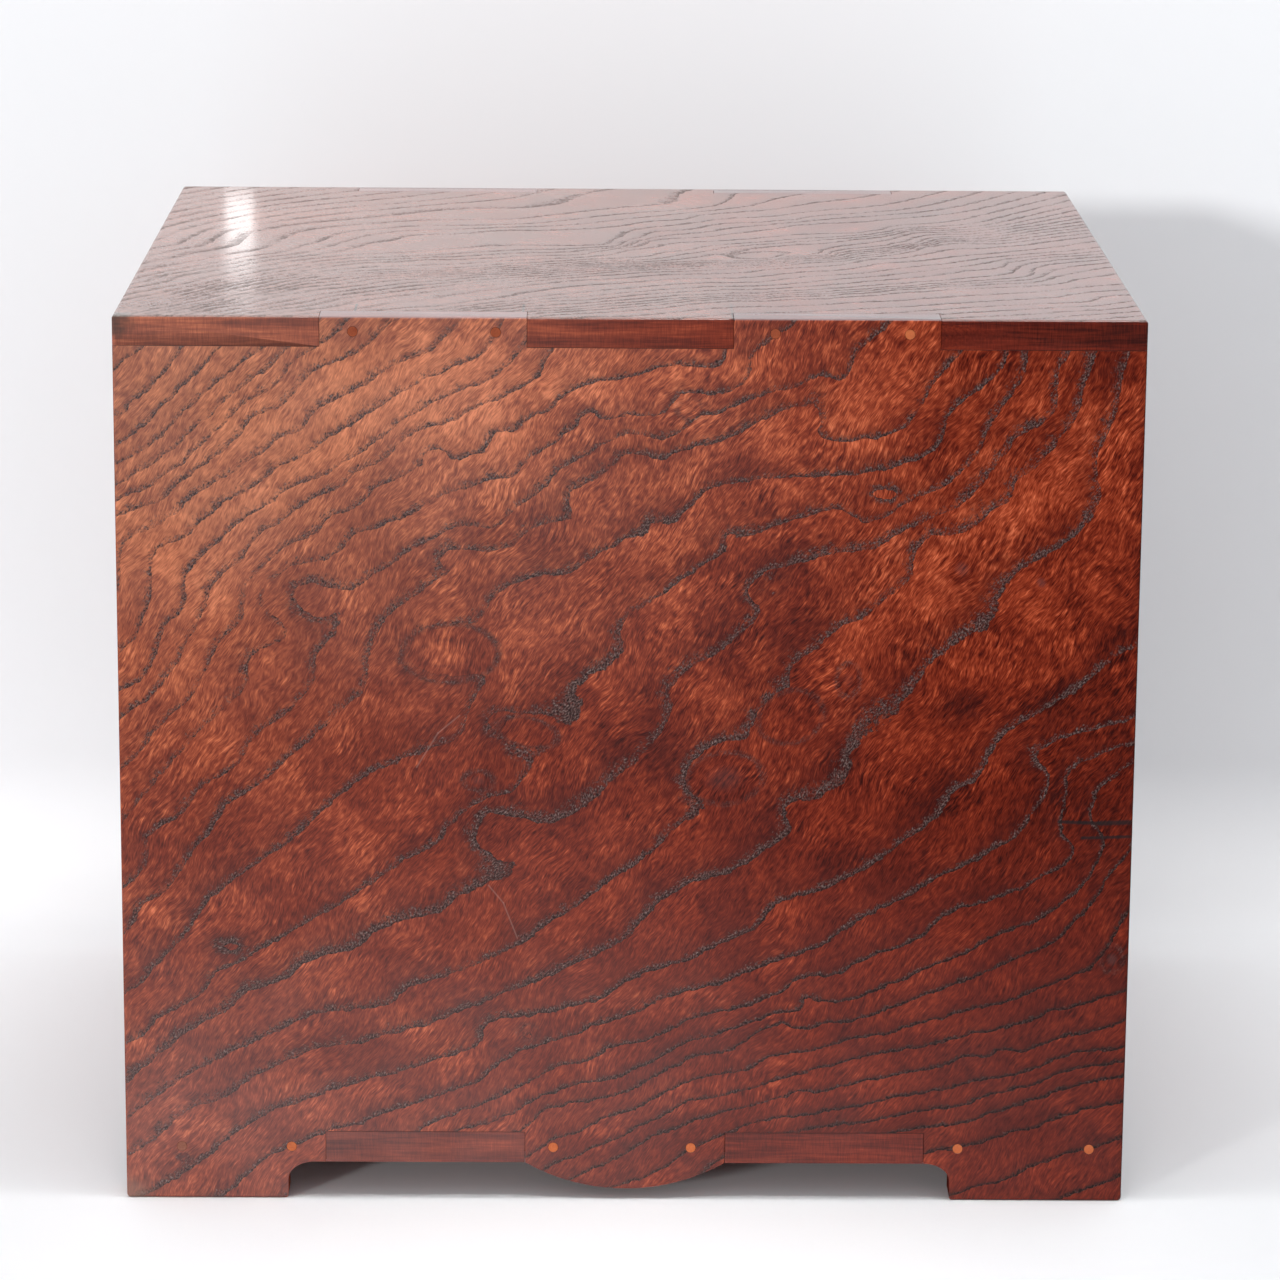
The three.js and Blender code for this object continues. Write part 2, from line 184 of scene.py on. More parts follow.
class Net:
    """The node tree of one material."""

    def __init__(self, name: str) -> None:
        """Starts an empty material of that name."""
        self.material = bpy.data.materials.new(name)
        self.material.use_nodes = True
        self.tree = self.material.node_tree
        self.tree.nodes.clear()

    def node(
        self,
        kind: str,
        settings: dict[str, object],
        inputs: dict[Union[str, int], object],
        output: Union[str, int] = 0,
    ) -> Signal:
        """Adds one node.

        Args:
            kind: Blender's name for the type of node.
            settings: The node's own properties, which are set first.
            inputs: Values or signals for its sockets.
            output: The socket that is handed back.

        Returns:
            The chosen output as a signal.
        """
        node = self.tree.nodes.new(kind)
        for key, value in settings.items():
            setattr(node, key, value)
        for key, value in inputs.items():
            socket = node.inputs[key]
            if isinstance(value, Signal):
                self.tree.links.new(value.socket, socket)
            elif socket.type == "RGBA" and len(value) == 3:
                socket.default_value = (*value, 1.0)
            else:
                socket.default_value = value
        return Signal(self, node.outputs[output]) if node.outputs else None

    def math(self, operation: str, *operands: Operand) -> Signal:
        """Adds a Math node for numbers or a Vector Math node for vectors."""
        vectors = [isinstance(o, tuple) or (isinstance(o, Signal) and o.many) for o in operands]
        if not any(vectors):
            return self.node(
                "ShaderNodeMath", {"operation": operation}, dict(enumerate(operands))
            )
        if operation == "MULTIPLY" and not all(vectors):
            vector, number = operands if vectors[0] else operands[::-1]
            return self.node(
                "ShaderNodeVectorMath", {"operation": "SCALE"}, {0: vector, "Scale": number}
            )
        return self.node(
            "ShaderNodeVectorMath", {"operation": operation}, dict(enumerate(operands))
        )

    def vector(self, x: Operand, y: Operand, z: Operand) -> Signal:
        """Three numbers as one vector."""
        return self.node("ShaderNodeCombineXYZ", {}, {0: x, 1: y, 2: z})

    def place(self) -> Signal:
        """The point being shaded, in millimetres of the shared frame."""
        return self.node("ShaderNodeTexCoord", {}, {}, "Object") * (1 / MM)

    def facing(self) -> Signal:
        """The surface's own direction."""
        return self.node("ShaderNodeTexCoord", {}, {}, "Normal")

    def upward(self) -> Signal:
        """1 where the surface looks up, 0 where it looks aside or down."""
        return self.facing().part(2).rise(0.5, 0.95)

    def mark(self, name: str) -> Signal:
        """A number kept on the mesh's points under that name."""
        return self.node("ShaderNodeAttribute", {"attribute_name": name}, {}, "Fac")

    def noise(
        self, where: Operand, size: float, detail: float = 2.0, rough: float = 0.5
    ) -> Signal:
        """Smooth noise round 0.

        Args:
            where: The place, in millimetres.
            size: Width of a typical patch, in millimetres.
            detail: How many finer layers are added.
            rough: Strength of the finer layers.

        Returns:
            Values mostly between -0.3 and 0.3.
        """
        return (
            self.node(
                "ShaderNodeTexNoise",
                {},
                {"Vector": where, "Scale": 1.0 / size, "Detail": detail, "Roughness": rough},
            )
            - 0.5
        )

    def blend(self, first: Operand, second: Operand, share: Operand) -> Signal:
        """A colour that goes from first to second as share goes from 0 to 1."""
        return self.node(
            "ShaderNodeMix", {"data_type": "RGBA"}, {"Factor": share, 6: first, 7: second}, 2
        )

    def ramp(self, value: Signal, stops: tuple[tuple[float, Colour], ...]) -> Signal:
        """A colour ramp with the given places and colours."""
        node = self.tree.nodes.new("ShaderNodeValToRGB")
        band = node.color_ramp
        while len(band.elements) < len(stops):
            band.elements.new(0.5)
        for element, (place, colour) in zip(band.elements, stops):
            element.position = place
            element.color = (*colour, 1.0)
        self.tree.links.new(value.socket, node.inputs[0])
        return Signal(self, node.outputs[0])

    def stroke(self, where: Signal, line: "Stroke") -> Signal:
        """A straight mark on a board.

        Args:
            where: The place on the board's sheet, in millimetres, with 0 as its third number.
            line: The mark.

        Returns:
            1 on the mark, 0 off it.
        """
        span = (line.end[0] - line.start[0], line.end[1] - line.start[1], 0.0)
        away = where - (*line.start, 0.0)
        share = (away.dot(span) / (span[0] ** 2 + span[1] ** 2)).clamp()
        return (away - self.math("MULTIPLY", span, share)).length().fall(line.width * 0.3, line.width)

    def knot(self, where: Signal, knot: "Knot") -> Signal:
        """How far a place is from the middle of a knot.

        Args:
            where: The place on the board's sheet, in millimetres, with 0 as its third number.
            knot: The knot.

        Returns:
            0 in the middle, 1 on its rim.
        """
        turn = math.radians(knot.tilt)
        away = where - (knot.along, knot.up, 0.0)
        longwise = away.dot((math.cos(turn) / knot.half_long, math.sin(turn) / knot.half_long, 0.0))
        crosswise = away.dot((-math.sin(turn) / knot.half_high, math.cos(turn) / knot.half_high, 0.0))
        return self.vector(longwise, crosswise, 0.0).length()

    def bump(self, height: Signal, depth: float) -> Signal:
        """A surface direction from a height.

        Args:
            height: 0 to 1 over the surface.
            depth: Depth in millimetres of a height of 1.

        Returns:
            The bent direction.
        """
        return self.node(
            "ShaderNodeBump",
            {},
            {"Height": height, "Distance": depth * MM, "Strength": 1.0},
        )

    def surface(self, **inputs: object) -> bpy.types.Material:
        """Ends the material in a Principled shader with those inputs."""
        shader = self.node(
            "ShaderNodeBsdfPrincipled",
            {},
            {key.replace("_", " "): value for key, value in inputs.items()},
        )
        self.node("ShaderNodeOutputMaterial", {}, {"Surface": shader})
        return self.material


# Growth rings


@dataclass(frozen=True)
class RingLine:
    """One dark growth line of a board, read off the photograph.

    Places are pairs of millimetres: along the board from its front edge, and up from the floor on the side
    or in from the right edge on the top.
    """

    ring: int
    width: float
    places: str

    def points(self) -> list[tuple[float, float]]:
        """The places as numbers."""
        pairs = (pair.split() for pair in self.places.split(","))
        return [(float(along), float(up)) for along, up in pairs]


@dataclass(frozen=True)
class Eye:
    """A small knot where the rings close round a centre."""

    along: float
    up: float
    half_long: float
    half_high: float
    lift: float
    tilt: float = 0.0


@dataclass(frozen=True)
class Patch:
    """A place where the wood is lighter (positive) or darker (negative) than its surroundings."""

    along: float
    up: float
    half_long: float
    half_high: float
    shade: float
    tilt: float = 0.0


@dataclass(frozen=True)
class Knot:
    """A small knot with its own outline.

    The rim is the strength of its dark outline, the heart how much lighter (positive) or darker (negative)
    its inside is and the grey how far the middle has faded.
    """

    along: float
    up: float
    half_long: float
    half_high: float
    rim: float
    heart: float
    grey: float = 0.0
    tilt: float = 0.0


@dataclass(frozen=True)
class Stroke:
    """A straight crack or saw mark, or a pale scratch, on a board."""

    start: tuple[float, float]
    end: tuple[float, float]
    width: float
    pale: bool = False


SIDE_RINGS = (
    RingLine(0, 1.0, "0 255, 5 259.5, 9 262.5, 16 270"),
    RingLine(1, 1.2, "0 242, 3.6 243.3, 7 247.6, 10.7 249.7, 16.4 256, 20.7 262.2, 28 270"),
    RingLine(2, 1.2, "0 232.6, 7 237.2, 11.8 242, 17.5 248, 23.6 253.6, 31.4 262, 40 270"),
    RingLine(3, 1.3, "0 227, 7 230.8, 14.3 236, 19.3 242, 27 249, 35.7 256, 43.6 261.5, 54 270"),
    RingLine(
        4,
        1.3,
        "0 221, 9.3 226.5, 16 231, 22 236.5, 28.6 242.2, 35 248.3, 45.7 256.5, 51.4 262, 60 270",
    ),
    RingLine(
        5,
        1.4,
        "0 216, 10.7 220.8, 20.7 228.3, 28.6 236, 35.7 243.3, 42 248.3, 49 252.5, 54 259.5, 62.9 264.7, "
        "68 269.7",
    ),
    RingLine(
        6,
        1.4,
        "0 212, 7 214.7, 15 218, 20.7 223.6, 28.6 229.4, 38.6 238.3, 41.4 242.2, 47 244, 51.4 247.2, "
        "55.7 252.6, 65.7 258.6, 72 261.5, 82 270.4",
    ),
    RingLine(
        7,
        1.8,
        "1 190, 2 201.5, 10.7 208.3, 20.7 215.4, 32.9 224, 44.3 231.5, 48 235.4, 55 238, 60 244.4, "
        "66.4 247.6, 74.3 252, 80.7 256.5, 91.4 261, 100 268",
    ),
    RingLine(
        8,
        1.5,
        "1 171, 6.4 176.6, 8.6 182, 10.7 190, 13 202.6, 18 204.4, 30.7 215, 43 222.6, 49.3 227.6, "
        "56.4 230.4, 61.4 234.7, 73.6 242.6, 80.7 247, 89.3 252.6, 101.4 258, 110 262.4, 114 270",
    ),
    RingLine(
        9,
        1.5,
        "0 159, 7 162, 10.7 168, 14.3 178.7, 20.7 185.4, 20.7 192, 29.3 203, 37 210.4, 45.7 216, 58 223.3, "
        "63.6 225.4, 70 230, 79.3 236, 85.7 241.5, 92 245.4, 99.3 249, 108 252, 112 254.5, 118.4 260.4, "
        "124 270",
    ),
    RingLine(
        10,
        1.5,
        "0 150, 7 155, 13.6 162.3, 19.3 170, 20.7 174.4, 25 181, 27 188, 31.4 194.7, 38.6 200.4, "
        "43.6 207.6, 50 211, 55 215.4, 62 219, 70 224.7, 79.3 229.7, 85 235.4, 92 239, 100 241, 106 245, "
        "118 250.2, 125 255, 128.4 261.5, 136 270",
    ),
    RingLine(
        11,
        1.6,
        "0 133.7, 5 138.7, 10.7 146, 16.4 152.3, 20 155, 25 162.3, 29.6 172.3, 38 182.3, 38.2 189, "
        "41.4 194.7, 51.4 203.6, 61.4 209.7, 63 212, 70 214, 77 220.8, 83.6 224, 91.4 227.6, 100.6 229.7, "
        "108.5 231.5, 111.3 237.2, 117.7 238.3, 122.7 242.2, 129 245, 133.4 249.4, 140 252.6, 154 255, "
        "172 257.6, 179 258.6",
    ),
    RingLine(
        12,
        1.6,
        "0 117, 3 121, 7 126.6, 13 133.7, 19.3 141, 25 148, 31.4 153.7, 38.6 162.3, 39.6 170, 45.7 173, "
        "50.7 178.7, 44 186, 43 189, 47 193.3, 60 198.6, 66.4 202, 70.7 207, 78 209, 91.4 215.8, 98 219.4, "
        "110.6 223.8, 117.7 224.7, 121.3 229.4, 130 234.7, 133.4 238.3, 147 242.2, 157.7 242.6, "
        "163.4 245.4, 167 249.3, 178 249.5, 184 252, 187 260",
    ),
    RingLine(
        13,
        2.0,
        "0 97.3, 3.6 100, 8.6 108.7, 8 113.7, 18.6 121, 23 128, 30.7 133, 37 138.7, 41.4 146, 48.6 151, "
        "54.3 156.6, 59 164.4, 58.6 168.7, 65.7 178, 66.4 184, 57 183, 52 189, 57 192.2, 65 190.8, "
        "71.4 191, 83 199, 95 206, 107 209.4, 112 209, 119 215.8, 127 222, 136.3 229.4, 142 233, "
        "152.7 237.6, 158.4 236, 165 237.2, 172 242, 183.4 246.5, 190 249, 200 251, 212 253.3, 217.6 261",
    ),
    RingLine(
        14,
        2.0,
        "0 83, 3 86, 6.4 92.3, 10 95, 17 101.6, 21.4 109.4, 28 116.6, 32 124, 39.3 128.7, 53.6 141.6, "
        "66.4 153.7, 71.4 158, 75 165, 75 170, 80.7 182, 92 191, 99 196, 97 202.5, 107 202.2, 118.4 205, "
        "123.4 209.4, 135 212, 134.5 220.4, 145 226.5, 152 232, 161.3 230, 167 232.6, 180 236, 192.7 243, "
        "200 246, 206.3 244.7, 207 238, 214.7 235.4, 222.6 236.5, 231 238.6, 237 246, 243 256, 250 266",
    ),
    RingLine(
        15,
        2.0,
        "0 64.5, 5 68, 9 72, 13 77, 18 82, 22 88, 27 95, 34.3 101, 49.3 111.6, 61.4 123, 74.3 133.7, "
        "85.7 138.7, 95.7 143, 103 148, 104.3 153, 107 158, 111.5 163, 115 170, 113 178, 109.5 184, "
        "115 191, 129 195, 133.4 195, 137.7 198.6, 150 205.4, 156.3 207.2, 159 211.5, 165.6 211, "
        "170.6 217, 185.6 223.3, 199 224.7, 214 225.4, 224.7 227, 234 229.7, 239.7 232, 244 237.6, "
        "245.4 244, 253.3 250.4, 262 260",
    ),
    RingLine(
        16,
        2.2,
        "0 48.5, 5 51, 11 57, 18 61, 24 65, 27 70, 35 74.5, 42 79, 49 83, 56 88, 64.3 92.3, 73.6 98.7, "
        "87 108, 96.4 114.4, 105.7 123.7, 115 127.5, 122 134.5, 127 140.5, 118 142.5, 112 148, "
        "110.5 151.5, 117 152.4, 126 151.5, 131 148, 134 148.5, 138 153.5, 136 160, 140 164, 147 168, "
        "150.5 173, 149 178, 151.3 182.6, 161.3 189, 170.6 196, 182 203.3, 180 207.6, 190 208.3, "
        "204.7 213.3, 214.7 215, 221 211, 228.3 213.3, 234.7 218, 247 224.4, 255.4 234, 260.4 245.4, "
        "265.4 253, 268 262",
    ),
    RingLine(
        17,
        3.4,
        "0 36, 5 41, 11 46, 17 51, 25 56.5, 33 61, 36 65, 42 67, 51 71, 54 74.5, 64 77.5, 71 80, 76 84.5, "
        "85 88.5, 95.7 91, 101.4 96, 110 100, 118.5 106, 110 110, 106.5 116, 109 121, 118 121, 127 118.8, "
        "134 121, 141 126, 149 134, 155 139, 161 146, 165 155.5, 163.5 159, 169 166, 177 171, 185 177, "
        "190 183, 196 195.4, 207 200.4, 218.3 202.6, 230 207, 240 212, 252 219, 259 228, 266 237.6, "
        "272 240.4, 277.2 245.4, 277 254.7, 280 262",
    ),
    RingLine(
        18,
        2.6,
        "0 25, 8 31, 16 37, 25 42.5, 34 47, 42 51, 50 55, 60 59, 71 60, 80 62, 86 67, 95 70, 104 73.5, "
        "112 77, 120 81, 127 86.5, 135 92, 147 101, 155 106.5, 161 112, 168 119, 175 123, 171.5 128, "
        "169 134, 171 138, 178 143.5, 188 146, 189.5 152, 194 158, 200 162, 199.5 167, 208 173.5, 213 179, "
        "221 182, 229 189.4, 235.4 194.7, 241 207.6, 250 208.3, 258.3 215, 264 218.3, 265.4 224, 272 229, "
        "279 238, 284 248, 288 262",
    ),
    RingLine(
        19,
        2.6,
        "0 13, 7 17, 13 23, 22 29.5, 32 33, 36 36.5, 43 41, 51 44.5, 60 48, 71 49.5, 82 53, 92 55.5, "
        "100 59, 108 62, 117 66.5, 125 69.5, 135 74.5, 141 77, 149 81, 155 86.5, 160 93, 171 100.5, "
        "184 104.5, 194 111, 200 116, 199 124, 206 126.5, 217 133, 218.5 141, 227 148, 224 152.5, "
        "232 153.5, 236 160, 243 170, 249 175, 260 182, 265.4 195.4, 271 199.4, 279 204, 286 210.4, "
        "290.4 220, 289.5 232, 294.7 245.4, 297 260",
    ),
    RingLine(
        20,
        2.4,
        "15 6, 27 15, 36 22.5, 45 28, 54 31, 66 35.5, 80 39.5, 92 43.5, 98 45.5, 108 49.5, 110 56.5, "
        "118 58, 131 60, 144 63.5, 151 68.5, 164 74, 171 76.5, 183 82.5, 190 86, 197 94, 212 99, 222 104, "
        "230 110, 238 116, 245 122, 249 129, 257 134, 259 139, 267 149, 275 154, 283 159, 291 166, "
        "298 172, 303 174.5",
    ),
    RingLine(
        21,
        1.9,
        "36 6, 43 13, 52 17, 62 21.5, 70 23.5, 78 27, 91 31.5, 100 34.5, 108 38, 114 43.5, 123 48, "
        "133 51.5, 143 55.5, 152 58.5, 163 64, 175 67.5, 185 71, 194 75, 205 78.5, 215 84, 225 91, 235 96, "
        "245 102, 255 107, 263 112, 270 117, 273 122, 277 129, 278 134, 273 140.5, 282 146, 293 149, "
        "303 152.5",
    ),
    RingLine(
        22,
        1.5,
        "80 15, 90 22, 100 27, 108 30, 116 34, 124 38, 131 42.5, 138 43.2, 147 48.5, 157 50.5, 166 54.5, "
        "175 59, 187 61, 191 63.5, 200 67, 210 71, 222 76, 230 79, 240 83.5, 248 91, 258 94, 269 98.5, "
        "279 104, 286 110.5, 282 118, 283 127, 283 134, 290 139.5, 303 144",
    ),
    RingLine(
        23,
        1.3,
        "102 22, 112 25, 121 29.5, 130 34, 141 37, 150 39, 160 44, 169 49.5, 180 53, 192 57, 199 59.5, "
        "204 60, 205 65, 211 63, 222 64.5, 235 70, 245 75, 255 79, 265 85, 275 88.5, 284 95.5, 291 103, "
        "295 113, 291 121, 293 130, 303 138",
    ),
    RingLine(
        24,
        1.2,
        "121 22.5, 128 29, 137 31, 146 32.5, 157 37, 165 42, 175 46, 185 48.5, 192 54, 199 56.2, 206 54, "
        "212 57, 216 56, 230 60.5, 240 64.5, 248 67.5, 254 70, 262 73.5, 270 77.5, 280 82, 287 89, "
        "293 96.5, 297 104, 303 112",
    ),
    RingLine(
        25,
        1.1,
        "125 15, 137 21, 146 26, 155 29, 162 33, 170 37, 180 40, 190 42, 199 46.5, 210 48, 220 51.5, "
        "232 53.5, 245 57.5, 255 60.5, 265 62.5, 275 66.5, 284 70.5, 290 73, 295 78, 303 93",
    ),
    RingLine(
        26,
        1.1,
        "130 11, 140 15, 150 19.5, 160 25, 170 31, 180 33, 190 35.5, 200 39, 210 42, 221 45, 230 47, "
        "240 49, 250 51, 262 54, 275 58, 280 60.5, 290 62.5, 296 65, 303 67",
    ),
    RingLine(
        27,
        1.1,
        "138 7.5, 145 11, 152 15, 160 20, 172 25, 181 27.5, 190 30, 198 32, 207 33, 215 35.5, 221 37, "
        "230 39, 240 41.5, 250 44, 254 46, 262 45.5, 264 48, 270 47.5, 281 51, 292 54, 303 57.5",
    ),
    RingLine(
        28,
        1.1,
        "158 7, 165 11, 178 19, 186 22.5, 193 25, 206 27, 220 29.5, 230 32, 240 34, 250 35.5, 260 38.5, "
        "269 40, 277 42.5, 288 47, 297 48, 303 49",
    ),
    RingLine(
        29,
        1.0,
        "190 19, 200 21, 210 23, 225 24.5, 235 27, 245 29, 254 30.5, 264 34, 275 37, 284 41, 300 44",
    ),
    RingLine(
        30,
        1.2,
        "215 19, 225 20.5, 235 22, 245 23.5, 255 25, 265 28.5, 275 32, 284 35.5, 294 38, 303 39.5",
    ),
    RingLine(31, 1.0, "235 13, 245 15.5, 255 17, 265 20.5, 275 23, 285 27, 296 30, 303 31.5"),
    RingLine(32, 0.9, "250 1, 258 4, 266 6, 272 9, 278 12, 290 16, 300 19"),
)

SIDE_EYES = (
    Eye(96, 171.5, 15, 9.5, 0.85),
    Eye(120.5, 148.5, 8, 2.2, 0.5, -5),
    Eye(122, 53.5, 3, 2.6, 0.5),
    Eye(94, 231, 3.5, 2.5, 0.5),
    Eye(169, 245.5, 4, 3, 0.5),
    Eye(226, 220.4, 5, 3, 0.7),
    Eye(206, 251, 4, 4, 0.5),
    Eye(193, 192, 7, 4, 0.7, 20),
    Eye(251, 155, 8, 5, 0.5, 10),
    Eye(205, 33.5, 3, 2, 0.5),
    Eye(31, 80.5, 6, 3, 0.5),
    Eye(139, 243, 3, 2.5, 0.4),
)

SIDE_KNOTS = (
    Knot(98.5, 171.0, 14.5, 9.0, 0.80, -0.02, 0.0, 2.0),
    Knot(97.5, 171.0, 7.5, 4.0, 0.10, 0.16, 0.0, 0.0),
    Knot(121.5, 147.0, 9.5, 4.5, 0.75, -0.02, 0.0, -12.0),
    Knot(107.0, 132.0, 4.5, 3.0, 0.65, -0.04, 0.2),
    Knot(180.5, 133.0, 11.5, 8.0, 0.60, -0.08, 0.18, 6.0),
    Knot(200.0, 152.0, 10.0, 8.0, 0.50, 0.02, 0.0, 20.0),
    Knot(217.0, 163.5, 3.5, 5.0, 0.55, -0.14, 0.1),
    Knot(250.0, 197.5, 4.5, 4.5, 0.0, -0.12, 0.25),
    Knot(273.5, 193.5, 3.0, 3.0, 0.0, 0.05, 0.30),
    Knot(298.0, 77.0, 3.5, 4.0, 0.45, -0.10, 0.3),
    Knot(169.0, 245.0, 3.5, 3.0, 0.5, 0.05),
    Knot(122.0, 53.0, 3.0, 2.5, 0.4, -0.05),
    Knot(17.5, 13.0, 2.0, 1.5, 0.7, -0.25, 0.2),
)

SIDE_PATCHES = (
    Patch(30, 205, 34, 14, 0.05, 38),
    Patch(22, 176, 14, 24, 0.10, -20),
    Patch(85, 252, 56, 16, 0.20, 10),
    Patch(18, 205, 30, 26, 0.08, 20),
    Patch(290, 256, 40, 14, -0.06, 0),
    Patch(105, 240, 62, 20, 0.08, 10),
    Patch(62, 230, 40, 9, 0.08, 35),
    Patch(118, 252, 14, 10, 0.10, 60),
    Patch(150, 252, 34, 7, 0.12, 0),
    Patch(40, 148, 54, 24, 0.12, 0),
    Patch(170, 24, 56, 18, -0.04, 0),
    Patch(150, 60, 130, 30, 0.05, 0),
    Patch(240, 198, 34, 9, 0.16, 42),
    Patch(268, 216, 24, 9, 0.12, 60),
    Patch(266, 176, 20, 9, 0.12, 40),
    Patch(284, 240, 7, 22, 0.14, 0),
    Patch(258, 238, 7, 14, 0.10, -30),
    Patch(225, 236, 22, 8, 0.08, 30),
    Patch(212, 150, 14, 8, 0.10, 40),
    Patch(180, 160, 12, 9, 0.08, 30),
    Patch(230, 132, 14, 12, 0.08, 50),
    Patch(120, 90, 44, 9, 0.05, 25),
    Patch(60, 70, 30, 10, 0.04, 30),
    Patch(120, 198, 34, 10, -0.06, 10),
    Patch(70, 146, 22, 24, -0.04, 30),
    Patch(12, 236, 16, 10, -0.05, 40),
    Patch(105, 210, 5, 4, -0.18, 0),
    Patch(163, 214, 6, 5, -0.20, 0),
    Patch(190, 197, 13, 9, -0.20, 30),
    Patch(182, 177, 9, 5, -0.24, 20),
    Patch(152, 142, 10, 6, -0.16, 45),
    Patch(197, 166, 6, 5, -0.20, 30),
    Patch(215, 142, 5, 9, -0.20, 0),
    Patch(217, 108, 9, 5, -0.16, 0),
    Patch(246, 125, 6, 7, -0.18, 40),
    Patch(252, 155, 9, 4, -0.18, 0),
    Patch(277, 159, 10, 3, -0.20, 30),
    Patch(296, 176, 8, 4, -0.22, 45),
    Patch(290, 124, 12, 18, -0.14, 0),
    Patch(33, 81, 7, 4, -0.18, 0),
    Patch(120, 115, 16, 7, -0.10, 10),
    Patch(108, 128, 6, 9, -0.12, 0),
    Patch(240, 236, 12, 14, -0.10, 30),
)

TOP_RINGS = (
    RingLine(
        0,
        1.0,
        "0 120, 4 127, 9 132, 11 141, 13 150, 16 162, 24 176, 34 190, 45 203, 58 213, 72 221, 88 232, "
        "104 246",
    ),
    RingLine(
        1,
        1.6,
        "0 92, 8 103, 16 116, 26 128, 29 142, 31 158, 41 172, 57 184, 64 189, 77 198, 90 208, 100 212, "
        "112 213, 128 222, 134 236, 140 250",
    ),
    RingLine(
        2,
        1.0,
        "0 62, 6 73, 12 82, 20 92, 27 100, 41 116, 46 123, 48 130, 53 138, 57 151, 62 161, 73 168, 92 175, "
        "106 176, 120 180, 131 187, 140 194, 152 203, 170 212, 180 220, 186 232, 190 250",
    ),
    RingLine(
        3,
        1.1,
        "0 44, 5 51, 12 60, 14 69, 21 77, 30 88, 37 98, 44 105, 60 119, 66 129, 70 137, 77 143, 82 153, "
        "100 158, 112 165, 134 168, 150 176, 160 186, 172 192, 176 200, 190 208, 203 216, 214 228",
    ),
    RingLine(
        4,
        1.2,
        "0 22, 5 31, 10 37, 20 52, 25 59, 32 70, 43 85, 50 93, 60 103, 80 110, 92 114, 110 122, 130 127, "
        "148 134, 151 142, 156 152, 160 163, 172 169, 183 182, 196 186, 207 192, 215 200, 228 206, "
        "244 215",
    ),
    RingLine(
        5,
        1.0,
        "0 8, 5 16, 10 24, 18 34, 24 45, 30 56, 41 70, 50 79, 60 90, 70 97, 88 104, 104 107, 120 113, "
        "138 117, 142 122, 150 130, 160 146, 173 152, 185 160, 200 172, 208 180, 217 184, 228 187, "
        "242 196, 256 204",
    ),
    RingLine(
        6,
        1.0,
        "5 6, 10 14, 20 27, 25 36, 33 48, 43 62, 55 74, 66 80, 80 85, 95 88, 104 92, 120 99, 134 105, "
        "150 110, 158 114, 163 121, 172 128, 186 140, 197 145, 205 150, 220 156, 230 161, 238 169, "
        "252 178, 268 188",
    ),
    RingLine(
        7,
        1.1,
        "12 4, 20 14, 30 26, 38 40, 46 51, 54 62, 64 70, 78 77, 92 80, 104 84, 116 90, 130 95, 150 102, "
        "160 104, 170 110, 178 117, 186 122, 190 129, 197 134, 204 138, 215 142, 225 150, 236 158, "
        "243 168",
    ),
    RingLine(
        8,
        1.0,
        "20 4, 28 17, 39 32, 45 39, 53 50, 61 55, 68 60, 74 67, 84 71, 96 76, 108 80, 120 84, 134 91, "
        "158 97, 170 100, 183 102, 195 105, 201 110, 207 116, 214 118",
    ),
    RingLine(
        9,
        1.1,
        "30 4, 41 15, 45 20, 52 28, 63 41, 72 49, 82 58, 97 66, 110 73, 120 77, 130 82, 140 87, 150 91, "
        "162 95, 175 98, 190 101, 202 108, 207 113, 220 120, 232 128, 240 136, 248 144, 262 153, 282 168",
    ),
    RingLine(
        10,
        1.0,
        "42 5, 50 12, 61 23, 66 31, 73 37, 88 49, 104 60, 120 68, 130 74, 140 79, 150 84, 168 89, 176 92, "
        "188 96, 200 100, 212 108, 222 113, 230 120, 238 127, 244 137, 252 145",
    ),
    RingLine(
        11,
        1.1,
        "72 13, 80 22, 92 30, 97 37, 110 48, 123 58, 136 66, 150 71, 160 77, 175 80, 190 84, 195 89, "
        "212 95, 222 103, 228 110, 236 112, 246 121, 252 128, 262 132, 272 137, 286 147, 303 160",
    ),
    RingLine(
        12,
        1.0,
        "90 11, 97 13, 108 23, 118 30, 130 40, 143 48, 154 54, 167 61, 183 64, 190 65, 198 70, 211 78, "
        "225 84, 231 89, 238 94, 250 102, 263 113, 275 120, 290 128, 303 138",
    ),
    RingLine(
        13,
        1.1,
        "104 12, 117 21, 128 28, 142 32, 152 39, 167 46, 183 51, 198 54, 213 61, 227 69, 242 77, 257 89, "
        "269 98, 272 106, 285 116, 303 124",
    ),
    RingLine(
        14,
        1.0,
        "118 11, 133 17, 147 25, 160 31, 175 38, 190 40, 210 48, 224 54, 237 60, 250 66, 263 72, 276 81, "
        "278 94, 290 106, 303 113",
    ),
    RingLine(
        15,
        1.0,
        "127 8, 138 12, 152 19, 168 29, 183 35, 197 38, 217 44, 232 52, 248 59, 264 64, 280 72, 283 78, "
        "292 88, 303 98",
    ),
    RingLine(
        16,
        1.1,
        "140 1, 155 4, 166 11, 180 18, 197 21, 210 25, 230 32, 245 38, 259 44, 273 49, 287 57, 303 66",
    ),
    RingLine(17, 1.0, "205 4, 225 10, 243 17, 257 23, 272 28, 290 34, 294 42, 303 46"),
    RingLine(18, 1.0, "250 4, 265 8, 285 17, 295 20, 303 26"),
)

TOP_PATCHES = (
    Patch(30, 190, 40, 50, 0.10, 40),
    Patch(190, 236, 60, 14, 0.10, 10),
    Patch(240, 200, 30, 22, -0.12, 40),
    Patch(120, 150, 50, 16, -0.06, 20),
)

